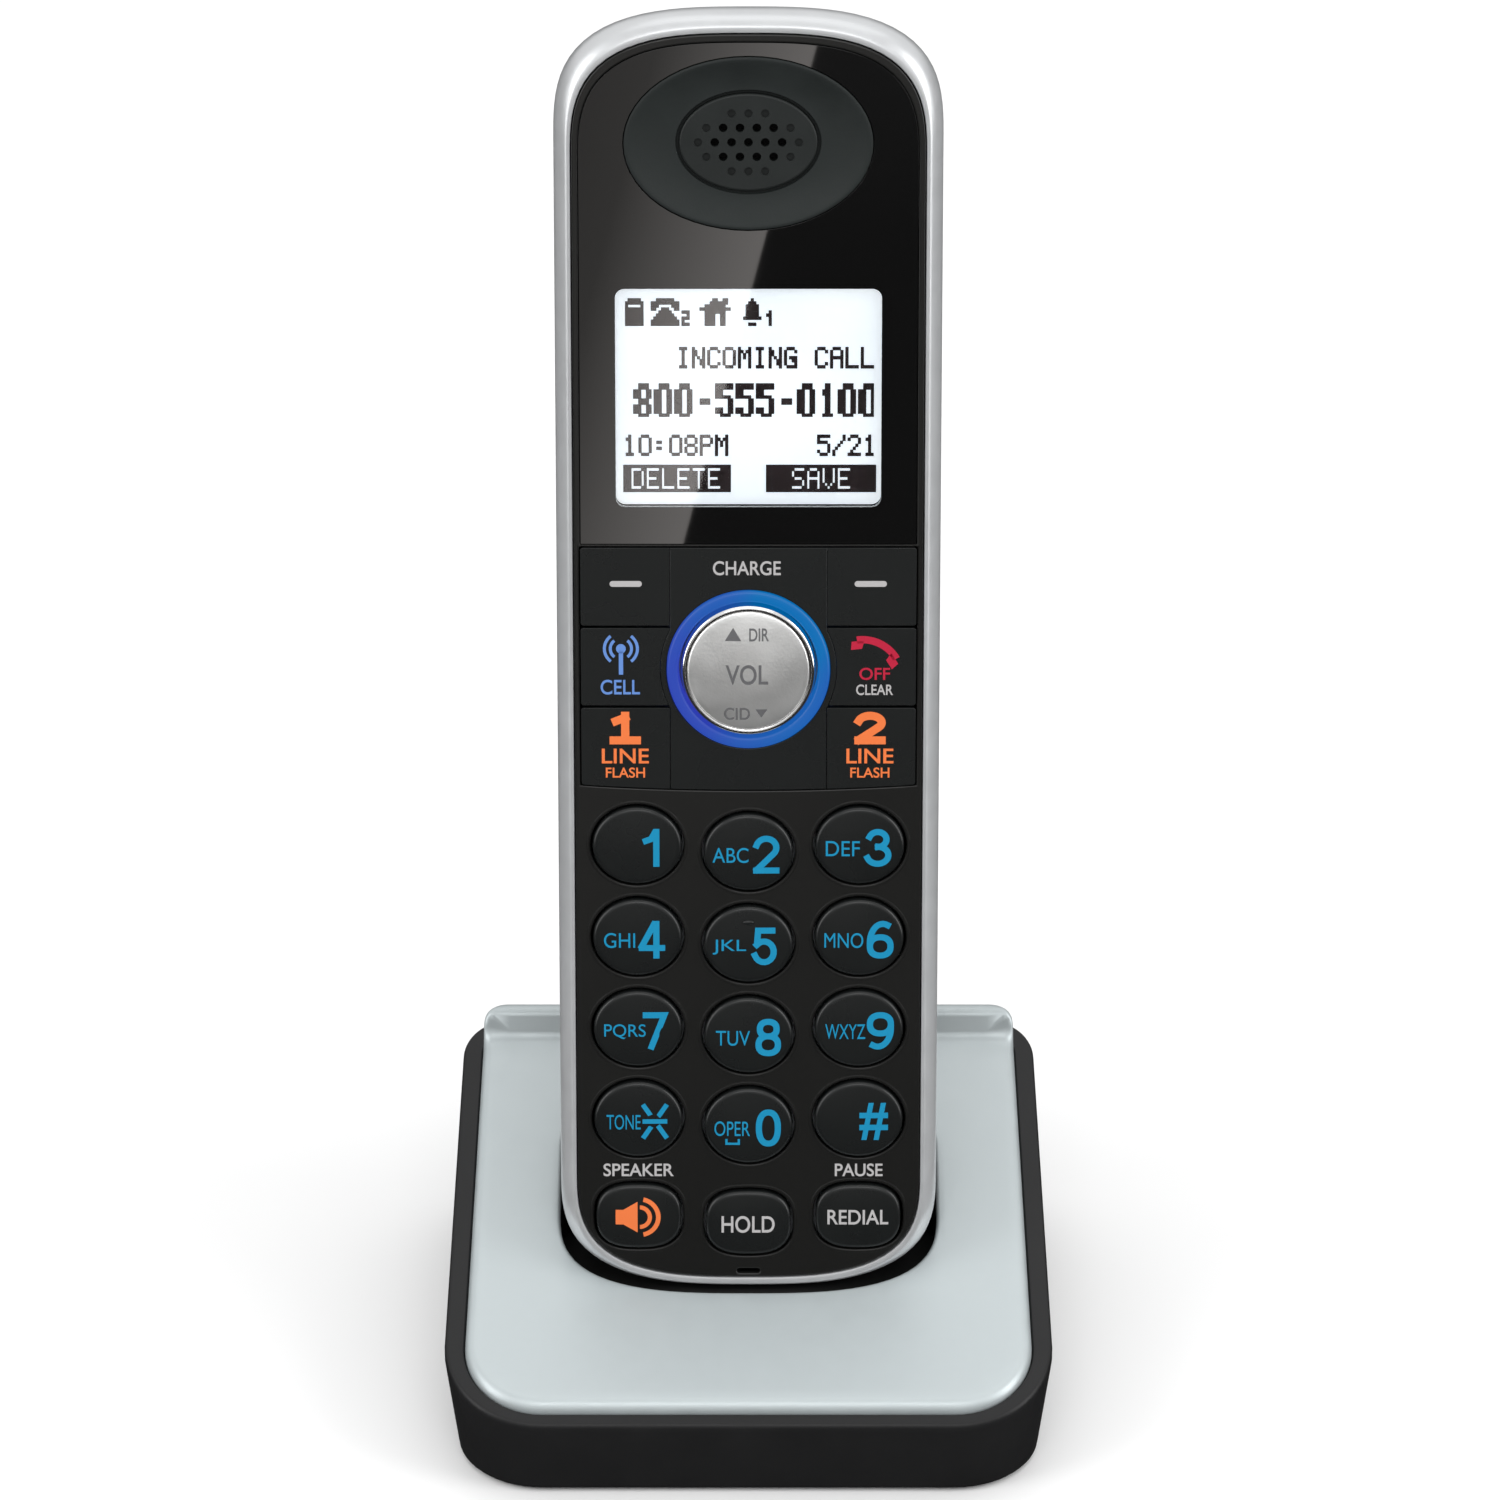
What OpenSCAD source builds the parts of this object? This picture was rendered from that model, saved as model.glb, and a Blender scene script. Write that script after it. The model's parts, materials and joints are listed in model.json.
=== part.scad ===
// Cordless phone handset standing in its charging cradle.
// Millimetres. X to the right, Y to the back, Z up; the cradle stands on z = 0, and the origin
// is under the middle of the whole object.
//
// The handset is drawn upright in its own frame and then leaned back as one piece:
// there x is across, y is the depth behind the face, and z runs from the foot to the top.

/* [Handset] */
// Width over the silver band
handset_w = 48.8; // [46:0.1:60]
// Length from the front edge of the foot to the top of the face's rim
handset_l = 165.4; // [160:0.5:205]
// Depth from the face to the flat of the back
handset_t = 26; // [25:0.5:34]
// Lean of the handset, back from upright
lean = 15; // [8:0.5:20]
// Depth of the silver band behind the face
band_d = 9; // [8:0.5:10]
// How far the band's widest line stands out beyond the black face, on each side
flare = 2.25; // [1.4:0.05:3]
// Wall of the back shell
shell_wall = 1.8; // [1.2:0.1:2.4]
// Thickness of the keypad face
face_t = 2; // [1.8:0.1:2.4]
// Length of the rounded top end
top_round = 16.5; // [12:0.5:20]
// Length of the rounded foot end
foot_round = 15; // [10:0.5:18]

/* [Display and earpiece] */
// Thickness of the clear lens
lens_t = 1.2; // [0.8:0.1:1.3]
// Width of the display window
lcd_w = 33.5; // [28:0.5:36]
// Height of the display window
lcd_h = 28.1; // [22:0.5:30]
// Distance from the top of the handset down to the middle of the display
lcd_down = 47.2; // [44:0.5:50]
// Width of the oval ear pad
ear_w = 31.3; // [26:0.5:36]
// Height of the oval ear pad
ear_h = 22; // [18:0.5:24]
// Distance from the top of the handset down to the middle of the ear pad
ear_down = 14.7; // [13:0.1:17]
// Width of the oval sound grille
grille_w = 17.3; // [14:0.1:20]
// Height of the oval sound grille
grille_h = 12.3; // [10:0.1:14]
// Diameter of a sound hole
sound_hole = 1.1; // [0.8:0.1:1.4]

/* [Keys] */
// Width of a dial key
key_w = 11.4; // [10:0.1:13]
// Height of a dial key
key_h = 10.2; // [9:0.1:11]
// Distance between the columns of keys
column_pitch = 14.25; // [13.6:0.05:16]
// Distance between the rows of dial keys
row_pitch = 12.3; // [11.8:0.1:13]
// Height of the lowest row of dial keys above the foot, at its ends
low_row = 22.75; // [22:0.25:26]
// Height of a bottom key above the foot, at its ends
bottom_row = 9.45; // [8.75:0.05:10]
// Width of a bottom key
bottom_w = 11; // [10:0.1:12]
// Height of a bottom key
bottom_h = 8.7; // [8:0.1:9.2]
// How much lower the middle column sits than the outer two
column_drop = 0.9; // [0:0.1:1.5]
// How far a dial key stands out of the face
key_rise = 0.7; // [0.4:0.1:1]
// Travel of every key
key_travel = 0.5; // [0.3:0.1:0.6]
// Gap all round a key in its hole
key_gap = 0.3; // [0.2:0.05:0.4]
// Height of one row of function keys
func_h = 10.15; // [9:0.05:12]
// Gap between neighbouring function keys
func_gap = 0.35; // [0.2:0.05:0.4]
// Height of the lowest function key above the foot
func_low = 67.7; // [67:0.1:72]
// Diameter of the silver rocker
nav_d = 17.1; // [14:0.1:18]
// Outer diameter of the light ring
ring_d = 20.8; // [20:0.1:22]

/* [Cradle] */
// How far the cradle stands out beyond the handset on each side
cradle_side = 15; // [12:0.5:22]
// How far the cradle's rim stands in front of the handset's foot
cradle_front = 20.9; // [18:0.5:28]
// How far the cradle's rim reaches behind the handset's back
cradle_behind = 19; // [17:0.5:29]
// Slope of the cradle's silver top
slope = 16.5; // [12:0.5:20]
// Height of the handset's foot above the table
seat_z = 18.8; // [18:0.2:26]
// Width of the black rim at the sides of the silver top
rim_w = 2.7; // [2.2:0.1:3.2]
// Width of the black rim in front of it
rim_front = 2.0; // [1.6:0.1:3]
// Plan radius of the rim's front corners
corner_r = 12.8; // [8:0.2:16]
// Thickness of the silver top
cover_t = 1.8; // [1.4:0.1:2.2]
// How far the silver top stands above the black rim
cover_proud = 1.2; // [0.8:0.1:1.6]
// Rise of the lip behind the handset
lip_rise = 3.6; // [2:0.2:6]
// Draught of the walls, from the rim in to the underside at the front
wall_draft = 1.6; // [0.8:0.2:3]
// Gap all round the handset in its pocket
pocket_gap = 0.4; // [0.3:0.05:0.8]
// Thickness of the cradle's floor
floor_t = 3.2; // [2.8:0.1:4]
// Diameter of a rubber foot
foot_d = 9; // [7:0.5:10]
// How far a rubber foot stands below the shell
foot_h = 0.5; // [0.3:0.1:1]
// Diameter of the hole in the back wall for the power plug
inlet_d = 9; // [8:0.5:10]

/* [Hidden] */

fit_gap = 0.05;                 // between fixed pieces of one assembly
past = 1;                       // how far a cutter runs past what it cuts
end_power = 2 / 3;              // exponent of the rounded ends: a cubic superellipse
end_steps = 12;                 // points in a quarter of a rounded end

// Handset: the black face and what is set into it
face_a = handset_w / 2 - flare;         // half width of the black face
foot_edge = 1.0;                        // the face starts this far above the foot
top_edge = 0.9;                         // and ends this far below the rim's top
mic_slot = 3;
skirt_t = 1.3;                          // wall of the front shell's skirt
groove_w = 0.9;                         // black edge outside the lens and the keys
lens_a = face_a - groove_w;             // half width of the lens
mask_t = 0.15;
recess_y = lens_t + mask_t;             // depth of the lens recess
func_a = face_a - groove_w + 0.05;      // half width of the rows of function keys
func_stem_a = face_a - skirt_t - 0.35;  // their stems stay inside the skirt
func_top = func_low + 3 * func_h + 2 * func_gap;
func_rise = 0.15;                       // the function keys stand out of the face by this much
func_bow = 0.7;                         // the rows' lower edge dips this much in the middle
lens_low = func_top + 0.5;
lens_high = handset_l - top_edge - 1.1;
lcd_z = handset_l - lcd_down;
lcd_r = 1.2;
lcd_glass_t = 1.6;
lcd_frame = 1.5;                        // the panel reaches this far past its window
lcd_y = face_t + 0.1;                   // front of the display panel
ear_z = handset_l - ear_down;
ear_ledge = 1.7;                        // the pad's rim rests this far over the face
ear_back = face_t + 0.8;                // back of the pad and the grille
ear_dish = 1.05;                        // depth of the ear pad's dish
grille_y = ear_dish - 0.15;
hole_dx = 2.1;
hole_dz = 1.83;
hole_rows = [3, 6, 7, 6, 3];
nav_z = func_low + 1.5 * func_h;
nav_r = nav_d / 2;
ring_r = ring_d / 2;
nav_rise = 1.3;                         // the rocker stands out of the face by this much
nav_stem_r = 2;
ring_rise = 0.5;
ring_wall = 0.8;                        // black wall outside the light ring
bezel_a = 9.7;                          // half width of the centre piece above and below it
flange_w = 0.6;                         // dial key's flange behind the face
stem_in = 1.6;                          // bottom key's stem, in from its edge
flange_t = 0.8;
flange_y = face_t + 0.1;
key_back = flange_y + flange_t;
stem_y = face_t - key_travel - 0.1;      // where a key's wide body ends when the stem is narrower
mat_y = key_back + key_travel + 0.1;
mat_t = 1.4;
board_y = mat_y + mat_t + 0.1;
board_t = 1.2;
board_low = 4.5;
board_high = lcd_z + 17;
corner_cut = 14;                        // side of the square that trims the board's lower corners
board_a = face_a - skirt_t - 1.6;

// Handset: the band and the back
band_foot = -0.7;                       // the band's lowest line, below the foot
rear_side = handset_w * 0.246;          // how far the back curves in at the sides
rear_top = 15;
rear_foot = 7;
rear_fall = 0.25;                       // slope of the back's top
rear_step = 0.5;                        // the band's back edge stands this far above the face's rim
rear_steps = 7;
door_a = 16;
door_low = 42;
door_high = 104;
door_slide = 20;                        // the door's slide leans out from the back by this angle
door_gap = 0.15;
door_floor = handset_t - 2.4;           // the door's flat inner face
bay_a = 12;
bay_y = board_y + board_t + 4.6;
bay_wall = 1.3;
cell_d = 10.4;                          // one AAA cell in its sleeve
cell_l = 46;
cell_y = door_floor - 0.15 - cell_d / 2;
boss_r = 2.2;
boss_in = 3.85;                         // the upper bosses' distance in from the face's edge
screw_r = 1;
head_r = 2;
head_t = 1.2;
seam_y = board_y + board_t + 3;         // where the front and rear bosses meet
head_y = 17;                            // the screws' heads bear here
screw_spots = [[-column_pitch / 2, bottom_row + 6.1], [column_pitch / 2, bottom_row + 6.1],
    [boss_in - face_a, ear_z - 12.7], [face_a - boss_in, ear_z - 12.7]];
speaker_z = door_high + 20;
speaker_r = 9.2;
contact_x = 9;
contact_y = 14;
contact_w = 6;
contact_l = 5;
contact_low = -0.45;                    // the plates' underside, just below the foot

// Cradle
plate_z0 = seat_z - 0.15;               // height of the silver top in line with the foot
ground_gap = foot_h;
cradle_a = handset_w / 2 + cradle_side; // half width at the front
back_taper = 1.1;                       // the cradle narrows by this much to the back
back_draft = 3;                         // the back wall leans out towards the table
back_r = 6;
front_y = -cradle_front;
cradle_back = handset_t + cradle_behind;
pocket_a = handset_w / 2 + 0.3;
pocket_front = -0.9;
pocket_round = 12;
pocket_back = handset_t + pocket_gap;
pocket_floor = -1;                      // the handset's foot stands just above it
liner_wall = 1.4;
liner_floor = 3.2;
liner_low = seat_z - (pocket_back + liner_wall) * sin(lean)
    + (pocket_floor - liner_floor) * cos(lean);  // the liner's lowest corner
boss_spots = [[cradle_a - 9.6, front_y + 10.4], [9.6 - cradle_a, front_y + 10.4],
    [cradle_a - 8.6, cradle_back - 7.5], [8.6 - cradle_a, cradle_back - 7.5]];
cradle_boss_r = 3.1;
cradle_screw_r = 1.25;
cradle_head_r = 2.4;
cradle_head_t = 1.3;
foot_sink = 0.8;
belt = 1.2;                             // the walls run straight this far below the rim
cover_reach = 90;                       // taller than any point of the silver top
lip_y = cradle_back - 4.6;              // where the silver top starts to turn up
pin_r = 0.9;
pin_flange_r = 1.6;
pin_flange_t = 0.6;
pin_stroke = 0.8;                       // a pin sinks this far when the handset is seated hard
pin_top = contact_low - 0.1;
tub_z = ground_gap + floor_t;           // top of the cradle's floor
pcb_t = 1.2;
pcb_z = min(tub_z + 1.5, liner_low - pcb_t - 0.3);
pcb_a = 15;
jack_w = 9;
jack_h = 9.4;
jack_l = 12;
jack_z = pcb_z + pcb_t + jack_h / 2;
jack_face = cradle_back - 2.6;
jack_bore = 5.6;
jack_pin = 2;

// The whole object is centred on the origin front to back
handset_back = (handset_l + rear_step - rear_top) * sin(lean) + band_d * cos(lean)
    + norm([rear_top * sin(lean), (handset_t - band_d) * (cos(lean) - rear_fall * sin(lean))]);
seat_y = (cradle_front - handset_back) / 2;

// ---------- helpers ----------

// Points of an outline with straight sides at +-a and rounded ends, from z0 to z1
function ends(a, z0, z1, b0, b1) = concat(
    [for (i = [0:end_steps]) let (p = 90 * i / end_steps)
        [a * pow(cos(p), end_power), z1 - b1 + b1 * pow(sin(p), end_power)]],
    [for (i = [1:end_steps]) let (p = 90 * i / end_steps)
        [-a * pow(sin(p), end_power), z1 - b1 + b1 * pow(cos(p), end_power)]],
    [for (i = [0:end_steps]) let (p = 90 * i / end_steps)
        [-a * pow(cos(p), end_power), z0 + b0 - b0 * pow(sin(p), end_power)]],
    [for (i = [1:end_steps]) let (p = 90 * i / end_steps)
        [a * pow(sin(p), end_power), z0 + b0 - b0 * pow(cos(p), end_power)]]);

// Points of an ellipse w wide and h high
function oval(w, h, n = 32) = [for (i = [0:n - 1]) [w / 2 * cos(360 * i / n), h / 2 * sin(360 * i / n)]];

// Points of an arc
function arc(x, y, r, from, to, n) =
    [for (i = [0:n]) let (p = from + (to - from) * i / n) [x + r * cos(p), y + r * sin(p)]];

// Solid through a list of rings; the first ring runs anticlockwise seen from outside its end
module loft(rings) {
    m = len(rings[0]);
    last = len(rings) - 1;
    polyhedron([for (ring = rings) each ring], concat(
        [[for (i = [m - 1:-1:0]) i]],
        [for (j = [0:last - 1], i = [0:m - 1]) let (k = (i + 1) % m)
            [j * m + i, j * m + k, (j + 1) * m + k]],
        [for (j = [0:last - 1], i = [0:m - 1]) let (k = (i + 1) % m)
            [j * m + i, (j + 1) * m + k, (j + 1) * m + i]],
        [[for (i = [0:m - 1]) last * m + i]]));
}

// Flat shape drawn in x and z, made solid from depth y0 to y1
module slab(y0, y1) {
    translate([0, y1, 0]) rotate([90, 0, 0]) linear_extrude(y1 - y0) children();
}

// Round bar along the depth
module bar(r, y0, y1, x = 0, z = 0) {
    translate([x, y0, z]) rotate([-90, 0, 0]) cylinder(r = r, h = y1 - y0, $fn = 32);
}

module block(x0, x1, y0, y1, z0, z1) {
    translate([x0, y0, z0]) cube([x1 - x0, y1 - y0, z1 - z0]);
}

// Puts a handset piece in its place, leaning in the cradle
module in_handset() {
    translate([0, seat_y, seat_z]) rotate([-lean, 0, 0]) children();
}

// Puts a cradle piece in its place
module in_cradle() {
    translate([0, seat_y, 0]) children();
}

// ---------- handset casing ----------

// One ring of the handset's outside, at depth y
function band_ring(y, out, top, low, grow = 0) =
    [for (p = ends(face_a + out + grow, low - grow, handset_l + top + grow, foot_round, top_round))
        [p[0], y, p[1]]];

band_rings = [
    band_ring(0, 0.55, 0, 0),
    band_ring(0.5, 1.15, 0.75, -0.25),
    band_ring(1.6, 1.8, 1.5, -0.5),
    band_ring(3.5, flare, 1.9, band_foot),
    band_ring(6.2, flare, 1.4, band_foot),
    band_ring(band_d, flare - 0.15, rear_step, band_foot)];

// The back closes in along a quarter ellipse
function rear_ring(step, inset) = let (
    p = 90 * step / rear_steps,
    in = 1 - cos(p),
    y = band_d + (handset_t - band_d) * sin(p))
    [for (q = ends(face_a + flare - 0.15 - rear_side * in - inset,
            band_foot + rear_foot * in + inset,
            handset_l + rear_step - rear_top * in - rear_fall * (y - band_d) - inset,
            foot_round - inset / 2, top_round - inset / 2))
        [q[0], min(y, handset_t - inset), q[1]]];

module rear_solid(inset = 0) {
    steps = inset > 0 ? rear_steps - 2 : rear_steps;
    rings = [for (i = [0:steps]) rear_ring(i, inset)];
    loft(inset > 0
        ? concat([[for (p = rings[0]) [p[0], band_d - past, p[2]]]],
            [for (i = [1:steps]) rings[i]],
            [[for (p = rear_ring(rear_steps - 1, inset)) [p[0], handset_t - inset, p[2]]]])
        : rings);
}

module face_outline(grow = 0) {
    polygon(ends(face_a + grow, foot_edge - grow, handset_l - top_edge + grow,
        foot_round - 0.6 + grow / 2, top_round - 0.6 + grow / 2));
}

module lens_outline(grow = 0) {
    intersection() {
        polygon(ends(lens_a + grow, 0, lens_high + grow, foot_round, top_round - 1.2));
        translate([-face_a, lens_low - grow]) square([2 * face_a, handset_l]);
    }
}

module lcd_outline(w, h, r) {
    polygon(concat(arc(w / 2 - r, h / 2 - r, r, 0, 90, 6), arc(r - w / 2, h / 2 - r, r, 90, 180, 6),
        arc(r - w / 2, r - h / 2, r, 180, 270, 6), arc(w / 2 - r, r - h / 2, r, 270, 360, 6)));
}

// The opening for the function keys, with its bowed lower edge
module func_outline(grow = 0) {
    polygon(concat([[func_a + grow, func_top + grow], [-func_a - grow, func_top + grow]],
        [for (i = [-8:8]) let (x = (func_a + grow) * i / 8)
            [x, func_low - grow - func_bow * (1 - (i / 8) * (i / 8))]]));
}

// Places of the dial keys and the three bottom keys: [column, row], row 0 at the bottom
function key_x(column) = column * column_pitch;
function key_z(column, row) =
    (row == 0 ? bottom_row : low_row + (row - 1) * row_pitch) - (column == 0 ? column_drop : 0);

module front_shell() {
    color([0.1, 0.1, 0.11]) in_handset() difference() {
        union() {
            slab(0, face_t) face_outline();
            slab(face_t, band_d) difference() {
                face_outline();
                face_outline(-skirt_t);
            }
            for (s = screw_spots) bar(boss_r, face_t - 0.5, seam_y, s[0], s[1]);
        }
        slab(-past, recess_y) lens_outline(fit_gap);
        slab(-past, face_t + past) translate([0, lcd_z]) lcd_outline(lcd_w + 2, lcd_h + 2, lcd_r);
        slab(-past, face_t + past) translate([0, ear_z])
            polygon(oval(ear_w - 2 * ear_ledge, ear_h - 2 * ear_ledge));
        slab(-past, face_t + past) func_outline(func_gap / 2);
        for (column = [-1:1], row = [0:4])
            slab(-past, face_t + past) translate([key_x(column), key_z(column, row)])
                polygon(oval((row == 0 ? bottom_w : key_w) + 2 * key_gap,
                    (row == 0 ? bottom_h : key_h) + 2 * key_gap));
        block(-mic_slot / 2, mic_slot / 2, -past, face_t + past, foot_edge + 0.5, foot_edge + 1.1);
        for (s = screw_spots) bar(screw_r + fit_gap, face_t + 0.4, seam_y + past, s[0], s[1]);
    }
}

module side_frame() {
    color([0.75, 0.76, 0.78]) in_handset() difference() {
        loft(band_rings);
        slab(-past, band_d + past) face_outline(fit_gap);
    }
}

// Door region: its edges are parallel to the way it slides
module door_region(grow = 0) {
    rise = tan(90 - door_slide);
    out = handset_t - door_floor + past;
    translate([-door_a - grow, 0, 0]) rotate([90, 0, 90]) linear_extrude(2 * (door_a + grow))
        polygon([[door_floor - (grow > 0 ? fit_gap : 0), door_low - grow],
            [door_floor + out, door_low - grow - rise * out],
            [door_floor + out, door_high + grow],
            [door_floor - (grow > 0 ? fit_gap : 0), door_high + grow]]);
}

module rear_shell() {
    bay_low = door_low + 2;
    bay_high = door_high - 2;
    color([0.09, 0.09, 0.1]) in_handset() difference() {
        union() {
            difference() {
                rear_solid();
                rear_solid(shell_wall);
            }
            intersection() {
                rear_solid(fit_gap * 4);
                union() {
                    block(-bay_a - bay_wall, bay_a + bay_wall, bay_y - bay_wall, handset_t,
                        bay_low - bay_wall, bay_high + bay_wall);
                    block(-door_a - 2, door_a + 2, door_floor - 1.5, handset_t,
                        door_low - 8, door_high + 1.5);
                    for (s = screw_spots)
                        bar(boss_r + 0.8, seam_y + fit_gap, handset_t, s[0], s[1]);
                }
            }
        }
        door_region(door_gap);
        block(-bay_a, bay_a, bay_y, handset_t + past, bay_low, bay_high);
        for (s = screw_spots) {
            bar(screw_r + 0.2, seam_y - past, handset_t + past, s[0], s[1]);
            bar(head_r + 0.2, head_y, handset_t + past, s[0], s[1]);
        }
        for (x = [-2:2], z = [-2:2])
            if (abs(x) + abs(z) < 4)
                bar(0.9, handset_t - shell_wall - past, handset_t + past, 3 * x, speaker_z + 3 * z);
        for (side = [-1, 1])
            block(side * contact_x - contact_w / 2 - fit_gap, side * contact_x + contact_w / 2 + fit_gap,
                contact_y - contact_l / 2 - fit_gap, contact_y + contact_l / 2 + fit_gap, -3, 2);
    }
}

module battery_door() {
    color([0.11, 0.11, 0.12]) in_handset() difference() {
        intersection() {
            rear_solid();
            door_region();
        }
        for (i = [0:4])
            block(-5, 5, handset_t - 0.5, handset_t + past, door_high - 14 + 2 * i, door_high - 13 + 2 * i);
    }
}

module handset_screws() {
    color([0.7, 0.7, 0.72]) in_handset() for (s = screw_spots) {
        bar(screw_r, face_t + 2, head_y - 0.1, s[0], s[1]);
        difference() {
            bar(head_r, head_y, head_y + head_t, s[0], s[1]);
            block(s[0] - head_r * 0.6, s[0] + head_r * 0.6, head_y + head_t - 0.5, head_y + head_t + past,
                s[1] - 0.25, s[1] + 0.25);
            block(s[0] - 0.25, s[0] + 0.25, head_y + head_t - 0.5, head_y + head_t + past,
                s[1] - head_r * 0.6, s[1] + head_r * 0.6);
        }
        bar(screw_r, head_y - 0.1, head_y, s[0], s[1]);
    }
}

// ---------- display and sound ----------

module display_lens() {
    color([0.25, 0.27, 0.3, 0.5]) in_handset() difference() {
        slab(0, lens_t) lens_outline();
        slab(-past, lens_t + past) translate([0, ear_z])
            polygon(oval(ear_w + 2 * fit_gap, ear_h + 2 * fit_gap));
    }
}

module lens_mask() {
    color([0.02, 0.02, 0.02]) in_handset() difference() {
        slab(lens_t, recess_y) lens_outline();
        slab(-past, face_t) translate([0, ear_z]) polygon(oval(ear_w + 2 * fit_gap, ear_h + 2 * fit_gap));
        slab(-past, face_t) translate([0, lcd_z]) lcd_outline(lcd_w, lcd_h, lcd_r);
    }
}

module lcd_panel() {
    color([0.92, 0.95, 0.98]) in_handset()
        slab(lcd_y, lcd_y + lcd_glass_t) translate([0, lcd_z])
            square([lcd_w + 2 * lcd_frame, lcd_h + 2 * lcd_frame], center = true);
}

module lcd_holder() {
    color([0.85, 0.86, 0.86]) in_handset() difference() {
        slab(lcd_y, board_y - fit_gap) translate([0, lcd_z])
            square([lcd_w + 2 * (lcd_frame + 0.9), lcd_h + 2 * (lcd_frame + 1.1)], center = true);
        slab(0, lcd_y + lcd_glass_t + fit_gap) translate([0, lcd_z])
            square([lcd_w + 2 * (lcd_frame + fit_gap), lcd_h + 2 * (lcd_frame + fit_gap)], center = true);
    }
}

// The pad's dish narrows from just inside its edge down to the grille
module earpiece_pad() {
    dish_rings = [for (g = [[-past, ear_w + 1.4, ear_h + 1.4], [ear_dish, grille_w + 1.2, grille_h + 1.2]])
        [for (p = oval(g[1], g[2])) [p[0], g[0], ear_z + p[1]]]];
    color([0.13, 0.14, 0.14]) in_handset() difference() {
        union() {
            slab(-0.1, recess_y) translate([0, ear_z]) polygon(oval(ear_w, ear_h));
            slab(recess_y, ear_back) translate([0, ear_z])
                polygon(oval(ear_w - 2 * (ear_ledge + fit_gap), ear_h - 2 * (ear_ledge + fit_gap)));
        }
        loft(dish_rings);
        slab(-past, face_t + past) translate([0, ear_z])
            polygon(oval(grille_w + 2 * fit_gap, grille_h + 2 * fit_gap));
    }
}

module earpiece_grille() {
    color([0.12, 0.12, 0.12]) in_handset() difference() {
        slab(grille_y, ear_back) translate([0, ear_z]) polygon(oval(grille_w, grille_h));
        for (row = [0:4], i = [0:hole_rows[row] - 1]) {
            through = row > 0 && row < 4 && i > 0 && i < hole_rows[row] - 1;
            bar(sound_hole / 2, grille_y - past, through ? face_t + 2 : grille_y + 0.4,
                (i - (hole_rows[row] - 1) / 2) * hole_dx, ear_z + (2 - row) * hole_dz);
        }
    }
}

module earpiece_receiver() {
    color([0.6, 0.6, 0.62]) in_handset() {
        bar(7.5, face_t + 1.4, face_t + 4.4, 0, ear_z);
        bar(4, face_t + 4.4, face_t + 5.6, 0, ear_z);
    }
}

module loudspeaker() {
    color([0.3, 0.3, 0.32]) in_handset() {
        bar(speaker_r, handset_t - shell_wall - 3, handset_t - shell_wall - 0.1, 0, speaker_z);
        bar(5, handset_t - shell_wall - 5, handset_t - shell_wall - 3, 0, speaker_z);
    }
}

module microphone() {
    color([0.75, 0.75, 0.75]) in_handset()
        bar(2, board_y + board_t, board_y + board_t + 1.8, 0, board_low + 3);
}

// ---------- electronics ----------

module main_board() {
    color([0.1, 0.42, 0.2]) in_handset() difference() {
        block(-board_a, board_a, board_y, board_y + board_t, board_low, board_high);
        for (s = screw_spots) bar(boss_r + 0.3, board_y - past, board_y + board_t + past, s[0], s[1]);
        for (side = [-1, 1])
            translate([side * board_a, 0, board_low]) rotate([0, 45, 0])
                cube([corner_cut, 4 * board_y, corner_cut], center = true);
    }
}

module keypad_mat() {
    color([0.55, 0.57, 0.6]) in_handset() difference() {
        block(-board_a, board_a, mat_y, mat_y + mat_t, board_low, func_top);
        for (s = screw_spots) bar(boss_r + 0.3, mat_y - past, mat_y + mat_t + past, s[0], s[1]);
        for (side = [-1, 1])
            translate([side * board_a, 0, board_low]) rotate([0, 45, 0])
                cube([corner_cut, 4 * board_y, corner_cut], center = true);
    }
}

module battery_pack() {
    color([0.2, 0.45, 0.75]) in_handset() for (side = [-1, 1])
        translate([side * (cell_d / 2 + 0.1), cell_y, door_low + 3])
            cylinder(d = cell_d, h = cell_l, $fn = 48);
}

module battery_plug() {
    color([0.9, 0.9, 0.86]) in_handset()
        block(-10, -3, bay_y + 0.1, bay_y + 5, door_low + 4 + cell_l, door_low + 9 + cell_l);
}

module handset_contacts() {
    color([0.85, 0.72, 0.35]) in_handset() for (side = [-1, 1])
        block(side * contact_x - contact_w / 2, side * contact_x + contact_w / 2,
            contact_y - contact_l / 2, contact_y + contact_l / 2, contact_low, 1.2);
}

// ---------- keys ----------

// Oval key: a stepped crown, the body in its hole and the part behind it, larger or smaller by grow
module oval_key(column, row, w, h, behind, grow) {
    in_handset() translate([key_x(column), 0, key_z(column, row)]) {
        slab(-key_rise, 0.25 - key_rise) polygon(oval(w - 0.9, h - 0.9));
        slab(0.25 - key_rise, behind) polygon(oval(w, h));
        slab(behind, key_back) polygon(oval(w + 2 * grow, h + 2 * grow));
    }
}

module dial_key(column, row) {
    color([0.13, 0.13, 0.14]) oval_key(column, row, key_w, key_h, flange_y, flange_w);
}

module bottom_key(column) {
    color([0.13, 0.13, 0.14])
        oval_key(column, 0, bottom_w, bottom_h, stem_y, -stem_in);
}

// Function key of one side, row 0 at the top; its inner edge follows the light ring
module func_key(side, row) {
    top = func_top - row * (func_h + func_gap);
    inner = bezel_a + func_gap;
    dip = row == 2 ? func_bow * (1 - pow(inner / func_a, 2)) : 0;
    color([0.1, 0.1, 0.11]) in_handset() difference() {
        union() {
            slab(-func_rise, stem_y) polygon([[side * inner, top], [side * func_a, top],
                [side * func_a, top - func_h], [side * inner, top - func_h - dip]]);
            slab(1, key_back) polygon([[side * inner, top], [side * func_stem_a, top],
                [side * func_stem_a, top - func_h], [side * inner, top - func_h - dip]]);
        }
        bar(ring_r + ring_wall + func_gap, -past, key_back + past, 0, nav_z);
    }
}

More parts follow.
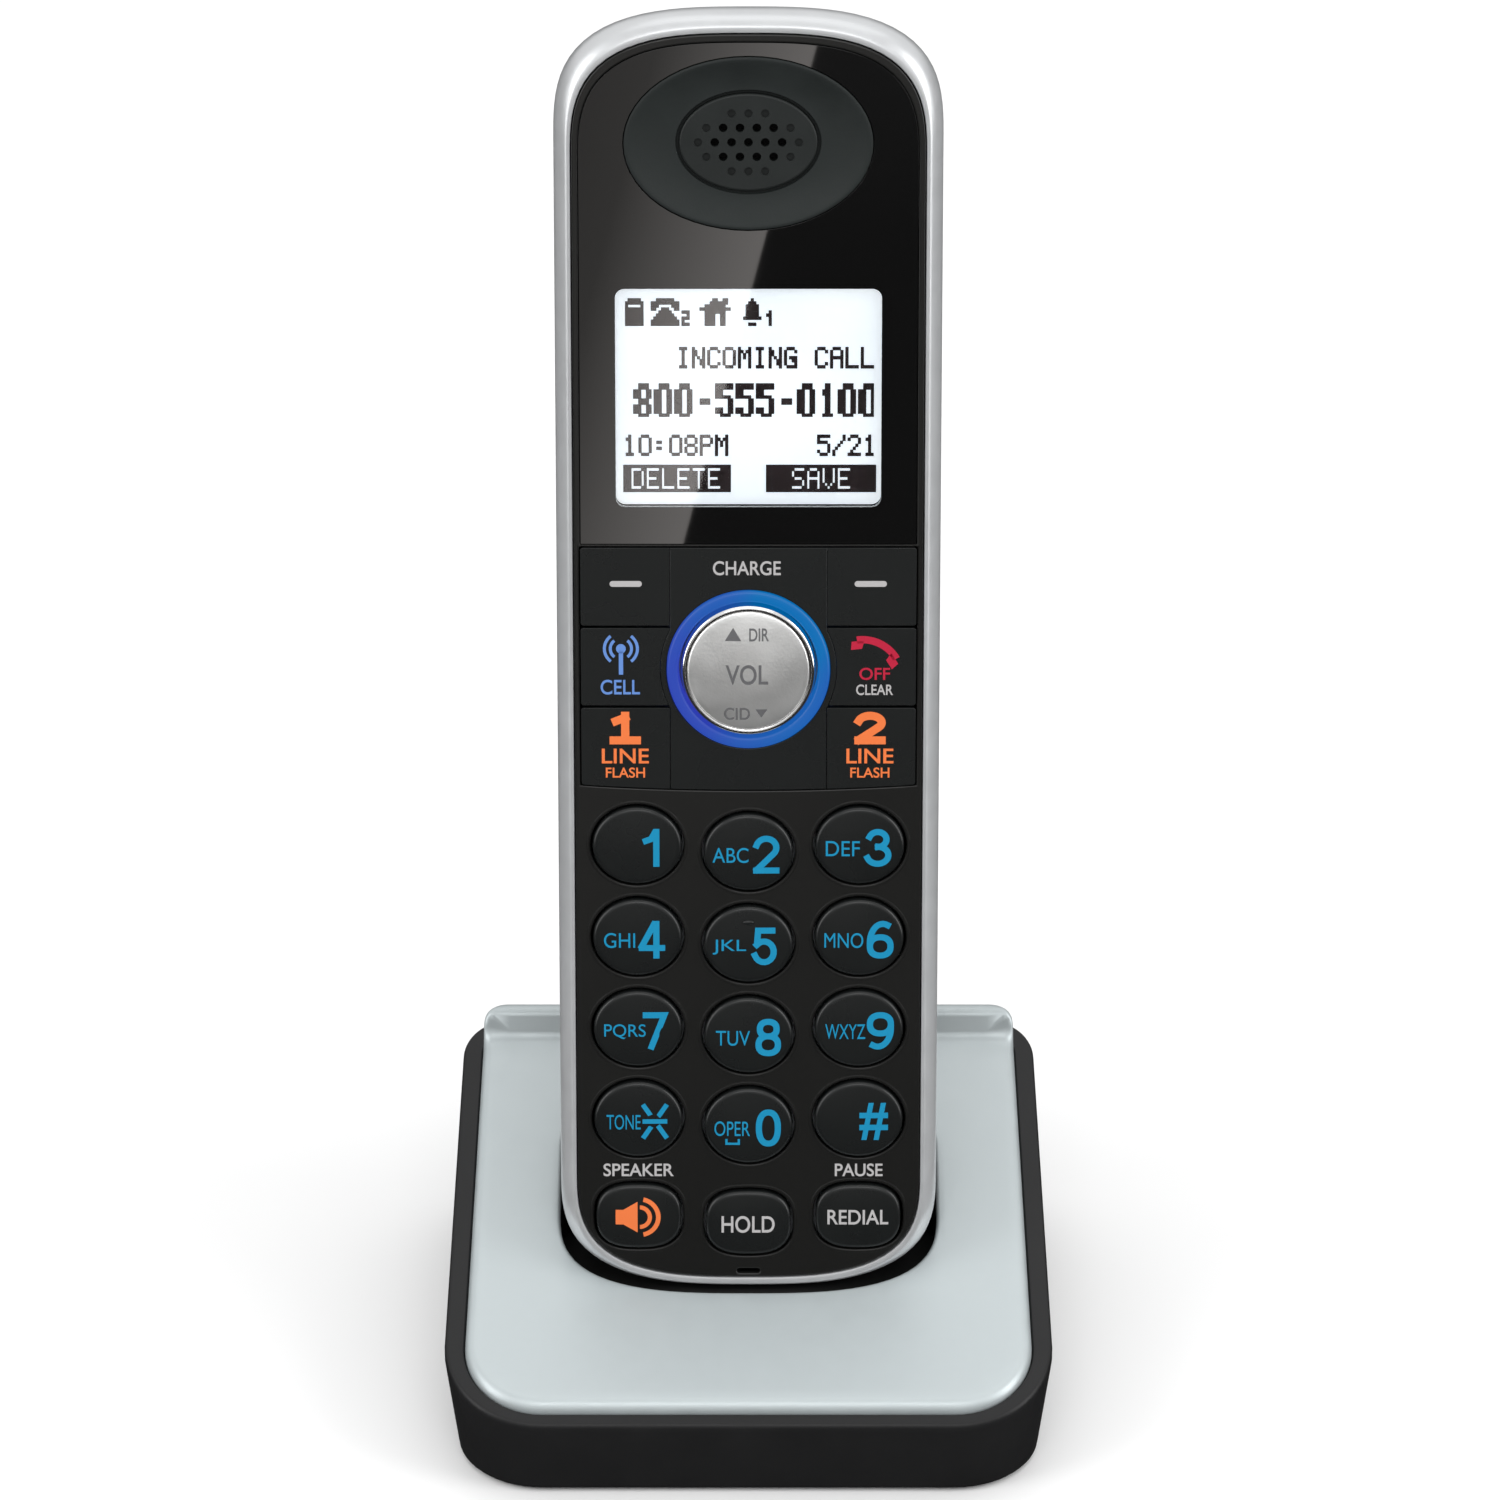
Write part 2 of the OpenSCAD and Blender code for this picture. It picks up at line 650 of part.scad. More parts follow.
// Black centre piece that carries the light ring
module nav_bezel() {
    color([0.09, 0.09, 0.1]) in_handset() difference() {
        union() {
            slab(-func_rise, key_back) intersection() {
                func_outline(-func_rise);
                translate([-bezel_a, 0]) square([2 * bezel_a, handset_l]);
            }
            bar(ring_r + ring_wall, -func_rise, key_back, 0, nav_z);
        }
        bar(ring_r + fit_gap, -past, key_back + past, 0, nav_z);
    }
}

module charge_ring() {
    color([0.1, 0.35, 0.95]) in_handset() difference() {
        bar(ring_r, -ring_rise, key_back, 0, nav_z);
        bar(nav_r + key_gap, -past, key_back + past, 0, nav_z);
    }
}

module nav_key() {
    color([0.78, 0.79, 0.8]) in_handset() {
        bar(nav_r - 0.5, -nav_rise, 0.3 - nav_rise, 0, nav_z);
        bar(nav_r, 0.3 - nav_rise, key_back - 0.3, 0, nav_z);
        bar(nav_stem_r, key_back - 0.3, key_back + 0.2, 0, nav_z);
    }
}

// ---------- cradle ----------

// Height of the silver top and of the black rim's edge at y
function plate_z(y) = plate_z0 + tan(slope) * y;
function rim_z(y) = plate_z(y) - cover_proud;

// Plan outline of the cradle, moved in by inset; the front and back may move on their own
function plan(inset, front, back) = let (
    a = cradle_a - inset,
    b = cradle_a - back_taper - inset,
    rf = corner_r - inset,
    rb = max(back_r - inset, 1.5)) concat(
    arc(b - rb, back - rb, rb, 0, 90, 6), arc(rb - b, back - rb, rb, 90, 180, 6),
    arc(rf - a, front + rf, rf, 180, 270, 10), arc(a - rf, front + rf, rf, 270, 360, 10));

// The cradle's outside between the sloped rim and the underside
module cradle_outside() {
    top = plan(0, front_y, cradle_back);
    loft([
        [for (p = plan(0.5, front_y + 0.5, cradle_back - 0.5)) [p[0], p[1], rim_z(p[1])]],
        [for (p = top) [p[0], p[1], rim_z(p[1]) - 0.5]],
        [for (p = top) [p[0], p[1], rim_z(p[1]) - belt]],
        [for (p = plan(wall_draft, front_y + wall_draft / 2, cradle_back + back_draft))
            [p[0], p[1], ground_gap]]]);
}

// Its hollow: straight down past the silver top, then following the walls
module cradle_hollow() {
    inset = rim_w - 2 * fit_gap;
    front = front_y + rim_front - 2 * fit_gap;
    top = plan(inset, front, cradle_back - inset);
    loft([
        [for (p = top) [p[0], p[1], rim_z(p[1]) + 8]],
        [for (p = top) [p[0], p[1], rim_z(p[1]) - belt]],
        [for (p = plan(inset + wall_draft, front + wall_draft / 2, cradle_back + back_draft - inset))
            [p[0], p[1], tub_z]]]);
}

module cradle_base() {
    color([0.12, 0.12, 0.125]) in_cradle() difference() {
        cradle_outside();
        cradle_hollow();
        for (s = boss_spots) translate([s[0], s[1], 0]) {
            translate([0, 0, -past])
                cylinder(d = foot_d + 2 * fit_gap, h = ground_gap + foot_sink + past, $fn = 48);
            cylinder(r = cradle_head_r + 0.2, h = tub_z - 1, $fn = 32);
            cylinder(r = cradle_screw_r + 0.2, h = tub_z + past, $fn = 32);
        }
        translate([0, jack_face, jack_z]) rotate([-90, 0, 0]) cylinder(d = inlet_d, h = 12, $fn = 48);
    }
}

// The silver top: a sloping plate with a lip that turns up behind the handset and rests on the
// back wall
module lip_profile() {
    top = plate_z(lip_y) + lip_rise;
    polygon(concat([[lip_y - 3, plate_z(lip_y - 3) - 0.6], [lip_y - 2.4, plate_z(lip_y - 2.4)]],
        arc(lip_y - 1.4, plate_z(lip_y - 1.4) + 2.2, 2.2, 286, 335, 4),
        arc(lip_y + 2.4, top - 1.4, 1.4, 155, 0, 6),
        [[lip_y + 3.8, plate_z(lip_y) - 2], [lip_y, plate_z(lip_y) - 2]]));
}

module cover_prism(back) {
    linear_extrude(cover_reach) polygon(plan(rim_w, front_y + rim_front, back));
}

module sloped_slab(low, high) {
    translate([0, 0, plate_z0]) rotate([slope, 0, 0])
        block(-100, 100, -60, 80, low, high);
}

module pocket_prism(grow, low, high) {
    translate([0, 0, seat_z]) rotate([-lean, 0, 0]) translate([0, 0, low]) linear_extrude(high - low)
        polygon(ends(pocket_a + grow, pocket_front - grow, pocket_back + grow, pocket_round, 7));
}

module cradle_cover() {
    color([0.76, 0.78, 0.79]) in_cradle() difference() {
        union() {
            intersection() {
                cover_prism(cradle_back - 0.7);
                union() {
                    difference() {
                        sloped_slab(-cover_t, 0);
                        block(-100, 100, lip_y - 1.4, 100, 0, 80);
                    }
                    translate([-50, 0, 0]) rotate([90, 0, 90]) linear_extrude(100) lip_profile();
                }
            }
            difference() {
                for (s = boss_spots) translate([s[0], s[1], tub_z + 0.1])
                    cylinder(r = cradle_boss_r, h = plate_z(s[1]) - tub_z - 0.9, $fn = 32);
                sloped_slab(-0.5, 40);
            }
        }
        difference() {
            sloped_slab(-40, fit_gap - cover_proud * cos(slope));
            cover_prism(cradle_back - rim_w);
        }
        pocket_prism(0, -20, 90);
        for (s = boss_spots) translate([s[0], s[1], 0])
            cylinder(r = cradle_screw_r + 0.02, h = tub_z + 7, $fn = 32);
    }
}

module pocket_liner() {
    low = pocket_floor - liner_floor;
    color([0.07, 0.07, 0.075]) in_cradle() difference() {
        union() {
            pocket_prism(-0.1, low, pocket_floor);
            difference() {
                pocket_prism(liner_wall, low, 60);
                pocket_prism(0, pocket_floor, 90);
                sloped_slab(-cover_t - 0.05, 80);
            }
        }
        translate([0, 0, seat_z]) rotate([-lean, 0, 0]) for (side = [-1, 1])
            translate([side * contact_x, contact_y, 0]) {
                translate([0, 0, low - past]) cylinder(r = pin_r + 0.1, h = 9, $fn = 32);
                translate([0, 0, low - past])
                    cylinder(r = pin_flange_r + 0.15, h = past + pin_flange_t + pin_stroke + 0.2, $fn = 32);
            }
    }
}

module contact_pin(side) {
    low = pocket_floor - liner_floor;
    color([0.85, 0.72, 0.35]) in_handset() translate([side * contact_x, contact_y, 0]) {
        translate([0, 0, low + 0.2]) cylinder(r = pin_r, h = pin_top - low - 0.2, $fn = 32);
        translate([0, 0, low]) cylinder(r = pin_flange_r, h = pin_flange_t, $fn = 32);
    }
}

module charge_board() {
    color([0.1, 0.42, 0.2]) in_cradle() {
        block(-pcb_a, pcb_a, 4, jack_face - 0.2, pcb_z, pcb_z + pcb_t);
        translate([-10, jack_face - 8.4, pcb_z + pcb_t]) cylinder(r = 2.5, h = 5, $fn = 32);
        block(8, 13, jack_face - 11, jack_face - 6, pcb_z + pcb_t, pcb_z + pcb_t + 1.5);
        for (x = [-pcb_a + 3, pcb_a - 3], y = [7, 38])
            translate([x, y, tub_z]) cylinder(r = 1.5, h = pcb_z - tub_z, $fn = 32);
    }
}

module dc_jack() {
    color([0.15, 0.15, 0.16]) in_cradle() {
        difference() {
            block(-jack_w / 2, jack_w / 2, jack_face - jack_l, jack_face, pcb_z + pcb_t, jack_z + jack_h / 2);
            translate([0, jack_face - jack_l + 2, jack_z]) rotate([-90, 0, 0])
                cylinder(d = jack_bore, h = jack_l, $fn = 48);
        }
        translate([0, jack_face - jack_l + 1, jack_z]) rotate([-90, 0, 0])
            cylinder(d = jack_pin, h = jack_l - 2, $fn = 32);
    }
}

module rubber_feet() {
    color([0.2, 0.2, 0.2]) in_cradle() for (s = boss_spots)
        translate([s[0], s[1], 0]) cylinder(d = foot_d, h = ground_gap + foot_sink, $fn = 48);
}

module cradle_screws() {
    head = tub_z - 1 - cradle_head_t;
    color([0.7, 0.7, 0.72]) in_cradle() for (s = boss_spots) translate([s[0], s[1], 0]) {
        translate([0, 0, head]) cylinder(r = cradle_head_r, h = cradle_head_t, $fn = 32);
        translate([0, 0, head + cradle_head_t]) cylinder(r = cradle_screw_r, h = 7, $fn = 32);
    }
}

// ---------- one line for each piece ----------

front_shell();
side_frame();
rear_shell();
battery_door();
display_lens();
lens_mask();
lcd_panel();
lcd_holder();
earpiece_pad();
earpiece_grille();
earpiece_receiver();
loudspeaker();
microphone();
main_board();
keypad_mat();
battery_pack();
battery_plug();
handset_contacts();
handset_screws();
nav_bezel();
charge_ring();
nav_key();
func_key(-1, 0);  // soft_key_left
func_key(1, 0);  // soft_key_right
func_key(-1, 1);  // cell_key
func_key(1, 1);  // off_key
func_key(-1, 2);  // line_1_key
func_key(1, 2);  // line_2_key
dial_key(-1, 4);  // key_1
dial_key(0, 4);  // key_2
dial_key(1, 4);  // key_3
dial_key(-1, 3);  // key_4
dial_key(0, 3);  // key_5
dial_key(1, 3);  // key_6
dial_key(-1, 2);  // key_7
dial_key(0, 2);  // key_8
dial_key(1, 2);  // key_9
dial_key(-1, 1);  // key_star
dial_key(0, 1);  // key_0
dial_key(1, 1);  // key_hash
bottom_key(-1);  // speaker_key
bottom_key(0);  // hold_key
bottom_key(1);  // redial_key
cradle_base();
cradle_cover();
pocket_liner();
contact_pin(-1);  // contact_pin_left
contact_pin(1);  // contact_pin_right
charge_board();
dc_jack();
rubber_feet();
cradle_screws();
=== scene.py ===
# %% [markdown]
# # A cordless phone in its charging cradle
# Each mechanical part was designed first as a plain solid with its true size and place. This
# lesson keeps those places and builds the surfaces a person would see and touch: the painted
# band, the clear window, the lit ring and the printed keys. Every piece then rides on the body
# that carries it, so the phone still lifts, its keys still press and its battery door slides.

# %% Load the frame
import json
import math

import bmesh
import bpy
import numpy as np
from mathutils import Matrix, Vector
from mathutils.geometry import delaunay_2d_cdt


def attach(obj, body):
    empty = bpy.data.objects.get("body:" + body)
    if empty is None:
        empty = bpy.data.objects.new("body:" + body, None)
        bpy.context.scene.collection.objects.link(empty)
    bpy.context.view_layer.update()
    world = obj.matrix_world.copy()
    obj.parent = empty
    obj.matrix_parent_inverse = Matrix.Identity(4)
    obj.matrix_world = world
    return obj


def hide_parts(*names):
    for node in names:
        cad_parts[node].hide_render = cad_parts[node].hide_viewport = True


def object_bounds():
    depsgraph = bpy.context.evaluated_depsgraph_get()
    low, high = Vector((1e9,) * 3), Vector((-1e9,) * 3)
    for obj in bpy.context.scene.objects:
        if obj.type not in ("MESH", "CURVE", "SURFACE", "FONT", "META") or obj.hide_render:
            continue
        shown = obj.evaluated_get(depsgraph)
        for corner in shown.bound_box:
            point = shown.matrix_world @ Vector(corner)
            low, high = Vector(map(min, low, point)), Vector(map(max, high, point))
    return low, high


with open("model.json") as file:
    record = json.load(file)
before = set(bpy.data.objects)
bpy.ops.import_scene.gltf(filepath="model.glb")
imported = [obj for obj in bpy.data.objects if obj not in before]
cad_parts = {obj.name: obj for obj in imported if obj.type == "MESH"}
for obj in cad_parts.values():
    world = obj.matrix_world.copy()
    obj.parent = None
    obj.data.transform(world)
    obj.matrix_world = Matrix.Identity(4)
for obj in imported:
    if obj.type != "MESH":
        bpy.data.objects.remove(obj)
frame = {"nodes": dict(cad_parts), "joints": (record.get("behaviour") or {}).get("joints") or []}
NODES = frame["nodes"]
cad_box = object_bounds()
print("solids:", len(NODES), "box:", [round(v, 4) for corner in cad_box for v in corner])

# %% [markdown]
# ## The camera
# A product view wants little perspective, so the camera stands far back with a long lens. It
# looks down on the cradle, which shows both the leaning handset and the cradle's silver top.
# It aims a little below and in front of the middle, where the eye rests.

# %% Camera
CAMERA_FAR = 0.9
CAMERA_RISE = math.radians(30.7)
CAMERA_LENS, CAMERA_SENSOR = 169.34, 36
AIM_SHIFT = Vector((0.0002, -0.0026, -0.0012))

target = (cad_box[0] + cad_box[1]) / 2 + AIM_SHIFT
camera_data = bpy.data.cameras.new("camera")
camera_data.lens = CAMERA_LENS
camera_data.sensor_width = CAMERA_SENSOR
camera = bpy.data.objects.new("camera", camera_data)
camera.location = target + CAMERA_FAR * Vector((0, -math.cos(CAMERA_RISE), math.sin(CAMERA_RISE)))
camera.rotation_euler = (math.pi / 2 - CAMERA_RISE, 0, 0)
bpy.context.scene.collection.objects.link(camera)
bpy.context.scene.camera = camera
bpy.context.scene.view_settings.view_transform = "Standard"
print("camera at", [round(v, 3) for v in camera.location])

# %% [markdown]
# ## Floor and light
# A pale floor and a soft white dome give the clean look of a catalogue. The dome is dark low
# down: glossy black plastic mirrors what stands in front of it, and only a dark front lets it
# read as black. One tall card stands at the front left, and its slanted edge draws the sheen
# across the window that tells the eye it is polished.

# %% Floor and light
DOME_POWER = 0.95
DOME_DARK_TO, DOME_WHITE_FROM = 0.53, 0.72      # heights on the dome, from 0 below to 1 above
LIGHTS = [      # name, place, width and height, power
    ("top_light", (0.1, 0.25, 1.3), (1.2, 0.9), 2.6),
    ("front_light", (0.0, -1.1, 1.25), (0.9, 0.5), 4.0),
    ("left_light", (-1.1, -0.5, 0.55), (0.5, 1.1), 6.5),
    ("right_light", (1.1, -0.4, 0.5), (0.5, 1.1), 7.5)]
CARD_SIZE = (0.12, 0.30)
CARD_PLACE = (-0.058, -1.3, 0.229)
CARD_TILT = math.radians(15)
CARD_POWER = 0.33


def link(name, data):
    thing = bpy.data.objects.new(name, data)
    bpy.context.scene.collection.objects.link(thing)
    return thing


def nodes_of(owner):
    owner.use_nodes = True
    owner.node_tree.nodes.clear()
    return owner.node_tree


def wire(tree, kind, **settings):
    """A new node; a setting named as an attribute is set, and any other goes to that input."""
    node = tree.nodes.new(kind)
    for name, value in settings.items():
        if hasattr(node, name):
            setattr(node, name, value)
        else:
            node.inputs[name.replace("_", " ")].default_value = value
    return node


def ramp_of(tree, *stops):
    """A colour ramp from pairs of a position and a colour, in order."""
    ramp = wire(tree, "ShaderNodeValToRGB")
    steps = ramp.color_ramp.elements
    for at, colour in stops[1:-1]:
        steps.new(at).color = (*colour, 1)
    for step, (at, colour) in ((steps[0], stops[0]), (steps[-1], stops[-1])):
        step.position, step.color = at, (*colour, 1)
    return ramp


def studio_dome():
    world = bpy.data.worlds.new("studio")
    bpy.context.scene.world = world
    tree = nodes_of(world)
    way = wire(tree, "ShaderNodeTexCoord")
    split = wire(tree, "ShaderNodeSeparateXYZ")
    ramp = ramp_of(tree, (DOME_DARK_TO, (0.03, 0.03, 0.03)), (DOME_WHITE_FROM, (1, 1, 1)))
    lift_up = wire(tree, "ShaderNodeMath", operation="MULTIPLY_ADD")
    lift_up.inputs[1].default_value = 0.5
    lift_up.inputs[2].default_value = 0.5
    seen = wire(tree, "ShaderNodeLightPath")
    pick = wire(tree, "ShaderNodeMix", data_type="RGBA")
    pick.inputs["B"].default_value = (0.97, 0.97, 0.97, 1)
    light = wire(tree, "ShaderNodeBackground", Strength=DOME_POWER)
    out = wire(tree, "ShaderNodeOutputWorld")
    tree.links.new(way.outputs["Generated"], split.inputs[0])
    tree.links.new(split.outputs["Z"], lift_up.inputs[0])
    tree.links.new(lift_up.outputs[0], ramp.inputs[0])
    tree.links.new(seen.outputs["Is Camera Ray"], pick.inputs["Factor"])
    tree.links.new(ramp.outputs[0], pick.inputs["A"])
    tree.links.new(pick.outputs["Result"], light.inputs["Color"])
    tree.links.new(light.outputs[0], out.inputs[0])


def soft_light(name, place, aim, size, power):
    data = bpy.data.lights.new(name, "AREA")
    data.shape = "RECTANGLE"
    data.size, data.size_y = size
    data.energy = power
    lamp = link(name, data)
    lamp.location = place
    lamp.rotation_euler = (Vector(aim) - Vector(place)).to_track_quat("-Z", "Y").to_euler()
    lamp.visible_camera = False
    return lamp


def sheen_card(place, size, tilt, power):
    """A slanted card in front, seen only in the window: bright at its right edge, fading left."""
    card = soft_light("sheen_card", place, (place[0], 0, place[2]), size, power)
    facing = card.rotation_euler.to_matrix()
    card.rotation_euler = (Matrix.Rotation(tilt, 3, "Y") @ facing).to_euler()
    tree = nodes_of(card.data)
    spot = wire(tree, "ShaderNodeNewGeometry")
    split = wire(tree, "ShaderNodeSeparateXYZ")
    fade = ramp_of(tree, (0.0, (0.04, 0.038, 0.0368)), (0.6, (0.22, 0.21, 0.2)),
                   (1.0, (1.0, 0.95, 0.92)))
    glow = wire(tree, "ShaderNodeEmission")
    out = wire(tree, "ShaderNodeOutputLight")
    tree.links.new(spot.outputs["Parametric"], split.inputs[0])
    tree.links.new(split.outputs["X"], fade.inputs[0])
    tree.links.new(fade.outputs[0], glow.inputs["Color"])
    tree.links.new(glow.outputs[0], out.inputs[0])
    card.visible_diffuse = False


studio_dome()
for light_name, place, size, power in LIGHTS:
    soft_light(light_name, place, target, size, power)
sheen_card(CARD_PLACE, CARD_SIZE, CARD_TILT, CARD_POWER)

# %% [markdown]
# ## Finishes
# No real surface is one flat colour. Moulded plastic has a fine grain, paint has flakes and a
# faint unevenness, and even polished plastic carries a little haze. Each finish here starts
# from one shader and adds noise to its colour, its roughness and its height, at the size the
# real grain has.

# %% A helper for finishes
def finish(name, colour, rough, metal=0.0, shift=0.12, grain=900.0, bump=0.0, depth=0.00002,
           level=0.5, coat=0.0, coat_rough=0.05, stretch=None, rough_shift=0.25):
    """A moulded, painted or printed surface: colour and roughness vary, and the grain stands up."""
    material = bpy.data.materials.new(name)
    tree = nodes_of(material)
    shader = wire(tree, "ShaderNodeBsdfPrincipled", Metallic=metal)
    shader.inputs["Specular IOR Level"].default_value = level
    shader.inputs["Coat Weight"].default_value = coat
    shader.inputs["Coat Roughness"].default_value = coat_rough
    place = wire(tree, "ShaderNodeTexCoord")
    spread = wire(tree, "ShaderNodeMapping")
    if stretch:
        spread.inputs["Scale"].default_value = stretch
    broad = wire(tree, "ShaderNodeTexNoise", Scale=grain / 14, Detail=3.0)
    fine = wire(tree, "ShaderNodeTexNoise", Scale=grain, Detail=2.0)
    tone = wire(tree, "ShaderNodeMix", data_type="RGBA")
    low = [c * (1 - shift) for c in colour[:3]]
    high = [min(1, c * (1 + shift)) for c in colour[:3]]
    tone.inputs["A"].default_value = (*low, 1)
    tone.inputs["B"].default_value = (*high, 1)
    haze = wire(tree, "ShaderNodeMapRange")
    haze.inputs["To Min"].default_value = rough * (1 - rough_shift)
    haze.inputs["To Max"].default_value = min(1, rough * (1 + rough_shift))
    height = wire(tree, "ShaderNodeBump", Strength=bump, Distance=depth)
    out = wire(tree, "ShaderNodeOutputMaterial")
    tree.links.new(place.outputs["Object"], spread.inputs[0])
    tree.links.new(spread.outputs[0], broad.inputs["Vector"])
    tree.links.new(spread.outputs[0], fine.inputs["Vector"])
    tree.links.new(broad.outputs["Fac"], tone.inputs["Factor"])
    tree.links.new(broad.outputs["Fac"], haze.inputs[0])
    tree.links.new(tone.outputs["Result"], shader.inputs["Base Color"])
    tree.links.new(haze.outputs[0], shader.inputs["Roughness"])
    tree.links.new(fine.outputs["Fac"], height.inputs["Height"])
    if bump:
        tree.links.new(height.outputs[0], shader.inputs["Normal"])
    tree.links.new(shader.outputs[0], out.inputs[0])
    return material


def shader_of(material):
    return next(n for n in material.node_tree.nodes if n.type == "BSDF_PRINCIPLED")


# %% Plastics, rubber and metals
FINISHES = {
    "black_face": finish("black_face", (0.010, 0.010, 0.0095), 0.2, level=0.3, bump=0.05,
                         grain=600),
    "black_key": finish("black_key", (0.008, 0.009, 0.009), 0.28, level=0.35, bump=0.08,
                        grain=1500),
    "back_black": finish("back_black", (0.018, 0.018, 0.019), 0.45, level=0.4, bump=0.5,
                         grain=2600),
    "cradle_black": finish("cradle_black", (0.0105, 0.0105, 0.011), 0.42, level=0.25, bump=0.35,
                           grain=2200),
    "liner_black": finish("liner_black", (0.008, 0.008, 0.008), 0.6, level=0.3, bump=0.3,
                          grain=1800),
    "ear_black": finish("ear_black", (0.011, 0.0145, 0.014), 0.62, level=0.3, bump=0.5, grain=3000),
    "grille_black": finish("grille_black", (0.012, 0.0145, 0.014), 0.5, level=0.3, bump=0.4,
                           grain=3000),
    "black_print": finish("black_print", (0.002, 0.002, 0.002), 0.9, level=0.0, bump=0.1),
    "silver_band": finish("silver_band", (0.53, 0.54, 0.55), 0.34, metal=0.5, shift=0.05,
                          bump=0.12, grain=5200, coat=0.35, coat_rough=0.12),
    "cradle_silver": finish("cradle_silver", (0.44, 0.485, 0.495), 0.42, metal=0.4, shift=0.04,
                            bump=0.16, grain=4600, coat=0.2, coat_rough=0.2),
    "rocker_silver": finish("rocker_silver", (0.80, 0.80, 0.79), 0.36, metal=0.85, shift=0.16,
                            bump=0.9, grain=2800, rough_shift=0.35),
    "rocker_rim": finish("rocker_rim", (0.78, 0.78, 0.78), 0.12, metal=1.0, shift=0.04, bump=0.05),
    "screw_steel": finish("screw_steel", (0.5, 0.5, 0.52), 0.3, metal=1.0, bump=0.2, grain=1800,
                          stretch=(1, 6, 1)),
    "contact_plate": finish("contact_plate", (0.83, 0.62, 0.28), 0.24, metal=1.0, bump=0.15,
                            grain=1600, stretch=(8, 1, 1)),
    "foot_rubber": finish("foot_rubber", (0.03, 0.03, 0.03), 0.8, level=0.25, bump=0.6, grain=2400),
    "silicone": finish("silicone", (0.36, 0.38, 0.40), 0.55, bump=0.2, grain=1500),
    "white_plastic": finish("white_plastic", (0.78, 0.79, 0.78), 0.5, shift=0.04, bump=0.1),
    "battery_sleeve": finish("battery_sleeve", (0.06, 0.18, 0.42), 0.3, bump=0.1, grain=500,
                             stretch=(1, 1, 9)),
    "speaker_steel": finish("speaker_steel", (0.4, 0.4, 0.42), 0.35, metal=0.9, bump=0.25,
                            grain=1400),
    "board_green": finish("board_green", (0.02, 0.13, 0.05), 0.4, shift=0.45, bump=0.3, grain=700,
                          depth=0.00005, stretch=(1, 0.4, 1.6)),
}
FINISHES["floor_pale"] = finish("floor_pale", (0.86, 0.86, 0.86), 0.6, shift=0.01, grain=40,
                                level=0.2)
print("finishes:", len(FINISHES))

# %% [markdown]
# Printed legends are a thin layer of ink. Each ink also gives off a painted glow, a trace of
# light of its own that makes it brighter than the lamps alone would, and its edge stays crisp.

# %% Inks
INKS = {"ink_blue": ((0.0, 0.185, 0.34), 0.2), "ink_orange": ((0.62, 0.14, 0.035), 0.2),
        "ink_red": ((0.36, 0.006, 0.03), 0.2), "ink_sky": ((0.09, 0.19, 0.46), 0.2),
        "ink_grey": ((0.36, 0.35, 0.35), 0.12), "ink_engraved": ((0.10, 0.10, 0.105), 0.0)}
# each ink's second number is its painted glow: emission that brightens the ink, which is no lamp
for ink, (colour, glow) in INKS.items():
    FINISHES[ink] = finish(ink, colour, 0.45, shift=0.06, grain=2000, level=0.3)
    shader_of(FINISHES[ink]).inputs["Emission Color"].default_value = (*colour, 1)
    shader_of(FINISHES[ink]).inputs["Emission Strength"].default_value = glow
print("inks:", list(INKS))

# %% [markdown]
# Three things are lit or let light through: the clear window, the white display behind it, and
# the ring round the rocker. The display's light drifts a little between two pale tones. The ring
# drifts between azure and violet, as a ring lit by a few small lamps does.

# %% Window, display and light ring
def window_clear():
    material = finish("clear_lens", (0.93, 0.95, 0.95), 0.015, shift=0.01, grain=300)
    shader = shader_of(material)
    shader.inputs["Transmission Weight"].default_value = 1.0
    shader.inputs["IOR"].default_value = 1.46
    return material


def glowing(name, first, second, strength, scale, rough, body=1.0):
    """Lit from inside in two tones; body is how much of the first tone shows when it is unlit."""
    material = finish(name, tuple(c * body for c in first), rough, shift=0.02, level=0.3)
    tree = material.node_tree
    shader = shader_of(material)
    noise = next(n for n in tree.nodes if n.type == "TEX_NOISE")
    noise.inputs["Scale"].default_value = scale
    noise.inputs["Detail"].default_value = 0.5
    blend = ramp_of(tree, (0.40, first), (0.60, second))
    tree.links.new(noise.outputs["Fac"], blend.inputs[0])
    tree.links.new(blend.outputs[0], shader.inputs["Emission Color"])
    shader.inputs["Emission Strength"].default_value = strength
    return material


FINISHES["clear_lens"] = window_clear()
FINISHES["window_black"] = finish("window_black", (0.0035, 0.0035, 0.0035), 0.012, shift=0.02)
FINISHES["lcd"] = glowing("lcd", (0.78, 0.82, 0.87), (0.84, 0.87, 0.90), 0.75, 60, 0.5)
FINISHES["lcd_dot"] = finish("lcd_dot", (0.035, 0.022, 0.024), 0.4, level=0.2)
FINISHES["ring_light"] = glowing("ring_light", (0.0, 0.15, 0.45), (0.03, 0.045, 0.44), 0.85, 60,
                                 0.35, body=0.15)
print("lit finishes added:", len(FINISHES))

# %% [markdown]
# ## The handset's own axes
# The handset leans back, which would make every place on it awkward to write. So it is drawn
# upright in millimetres: x across, y the depth behind the face, z up from the foot. One matrix
# then leans it, moves it into the cradle and turns millimetres into metres. The lean is read
# from the joint that lifts the handset out, and the sizes from the solids' boxes.

# %% Handset axes
MM = 0.001
FOOT_EDGE = 1.0      # the black face starts this far above the foot
TOP_RIM = 1.9        # the band's crest stands this far above the face's rim

lift = next(j for j in frame["joints"] if j["name"] == "handset_lift")
LEAN = math.atan2(lift["axis"][1], lift["axis"][2])
leaned = Matrix.Rotation(-LEAN, 4, "X")


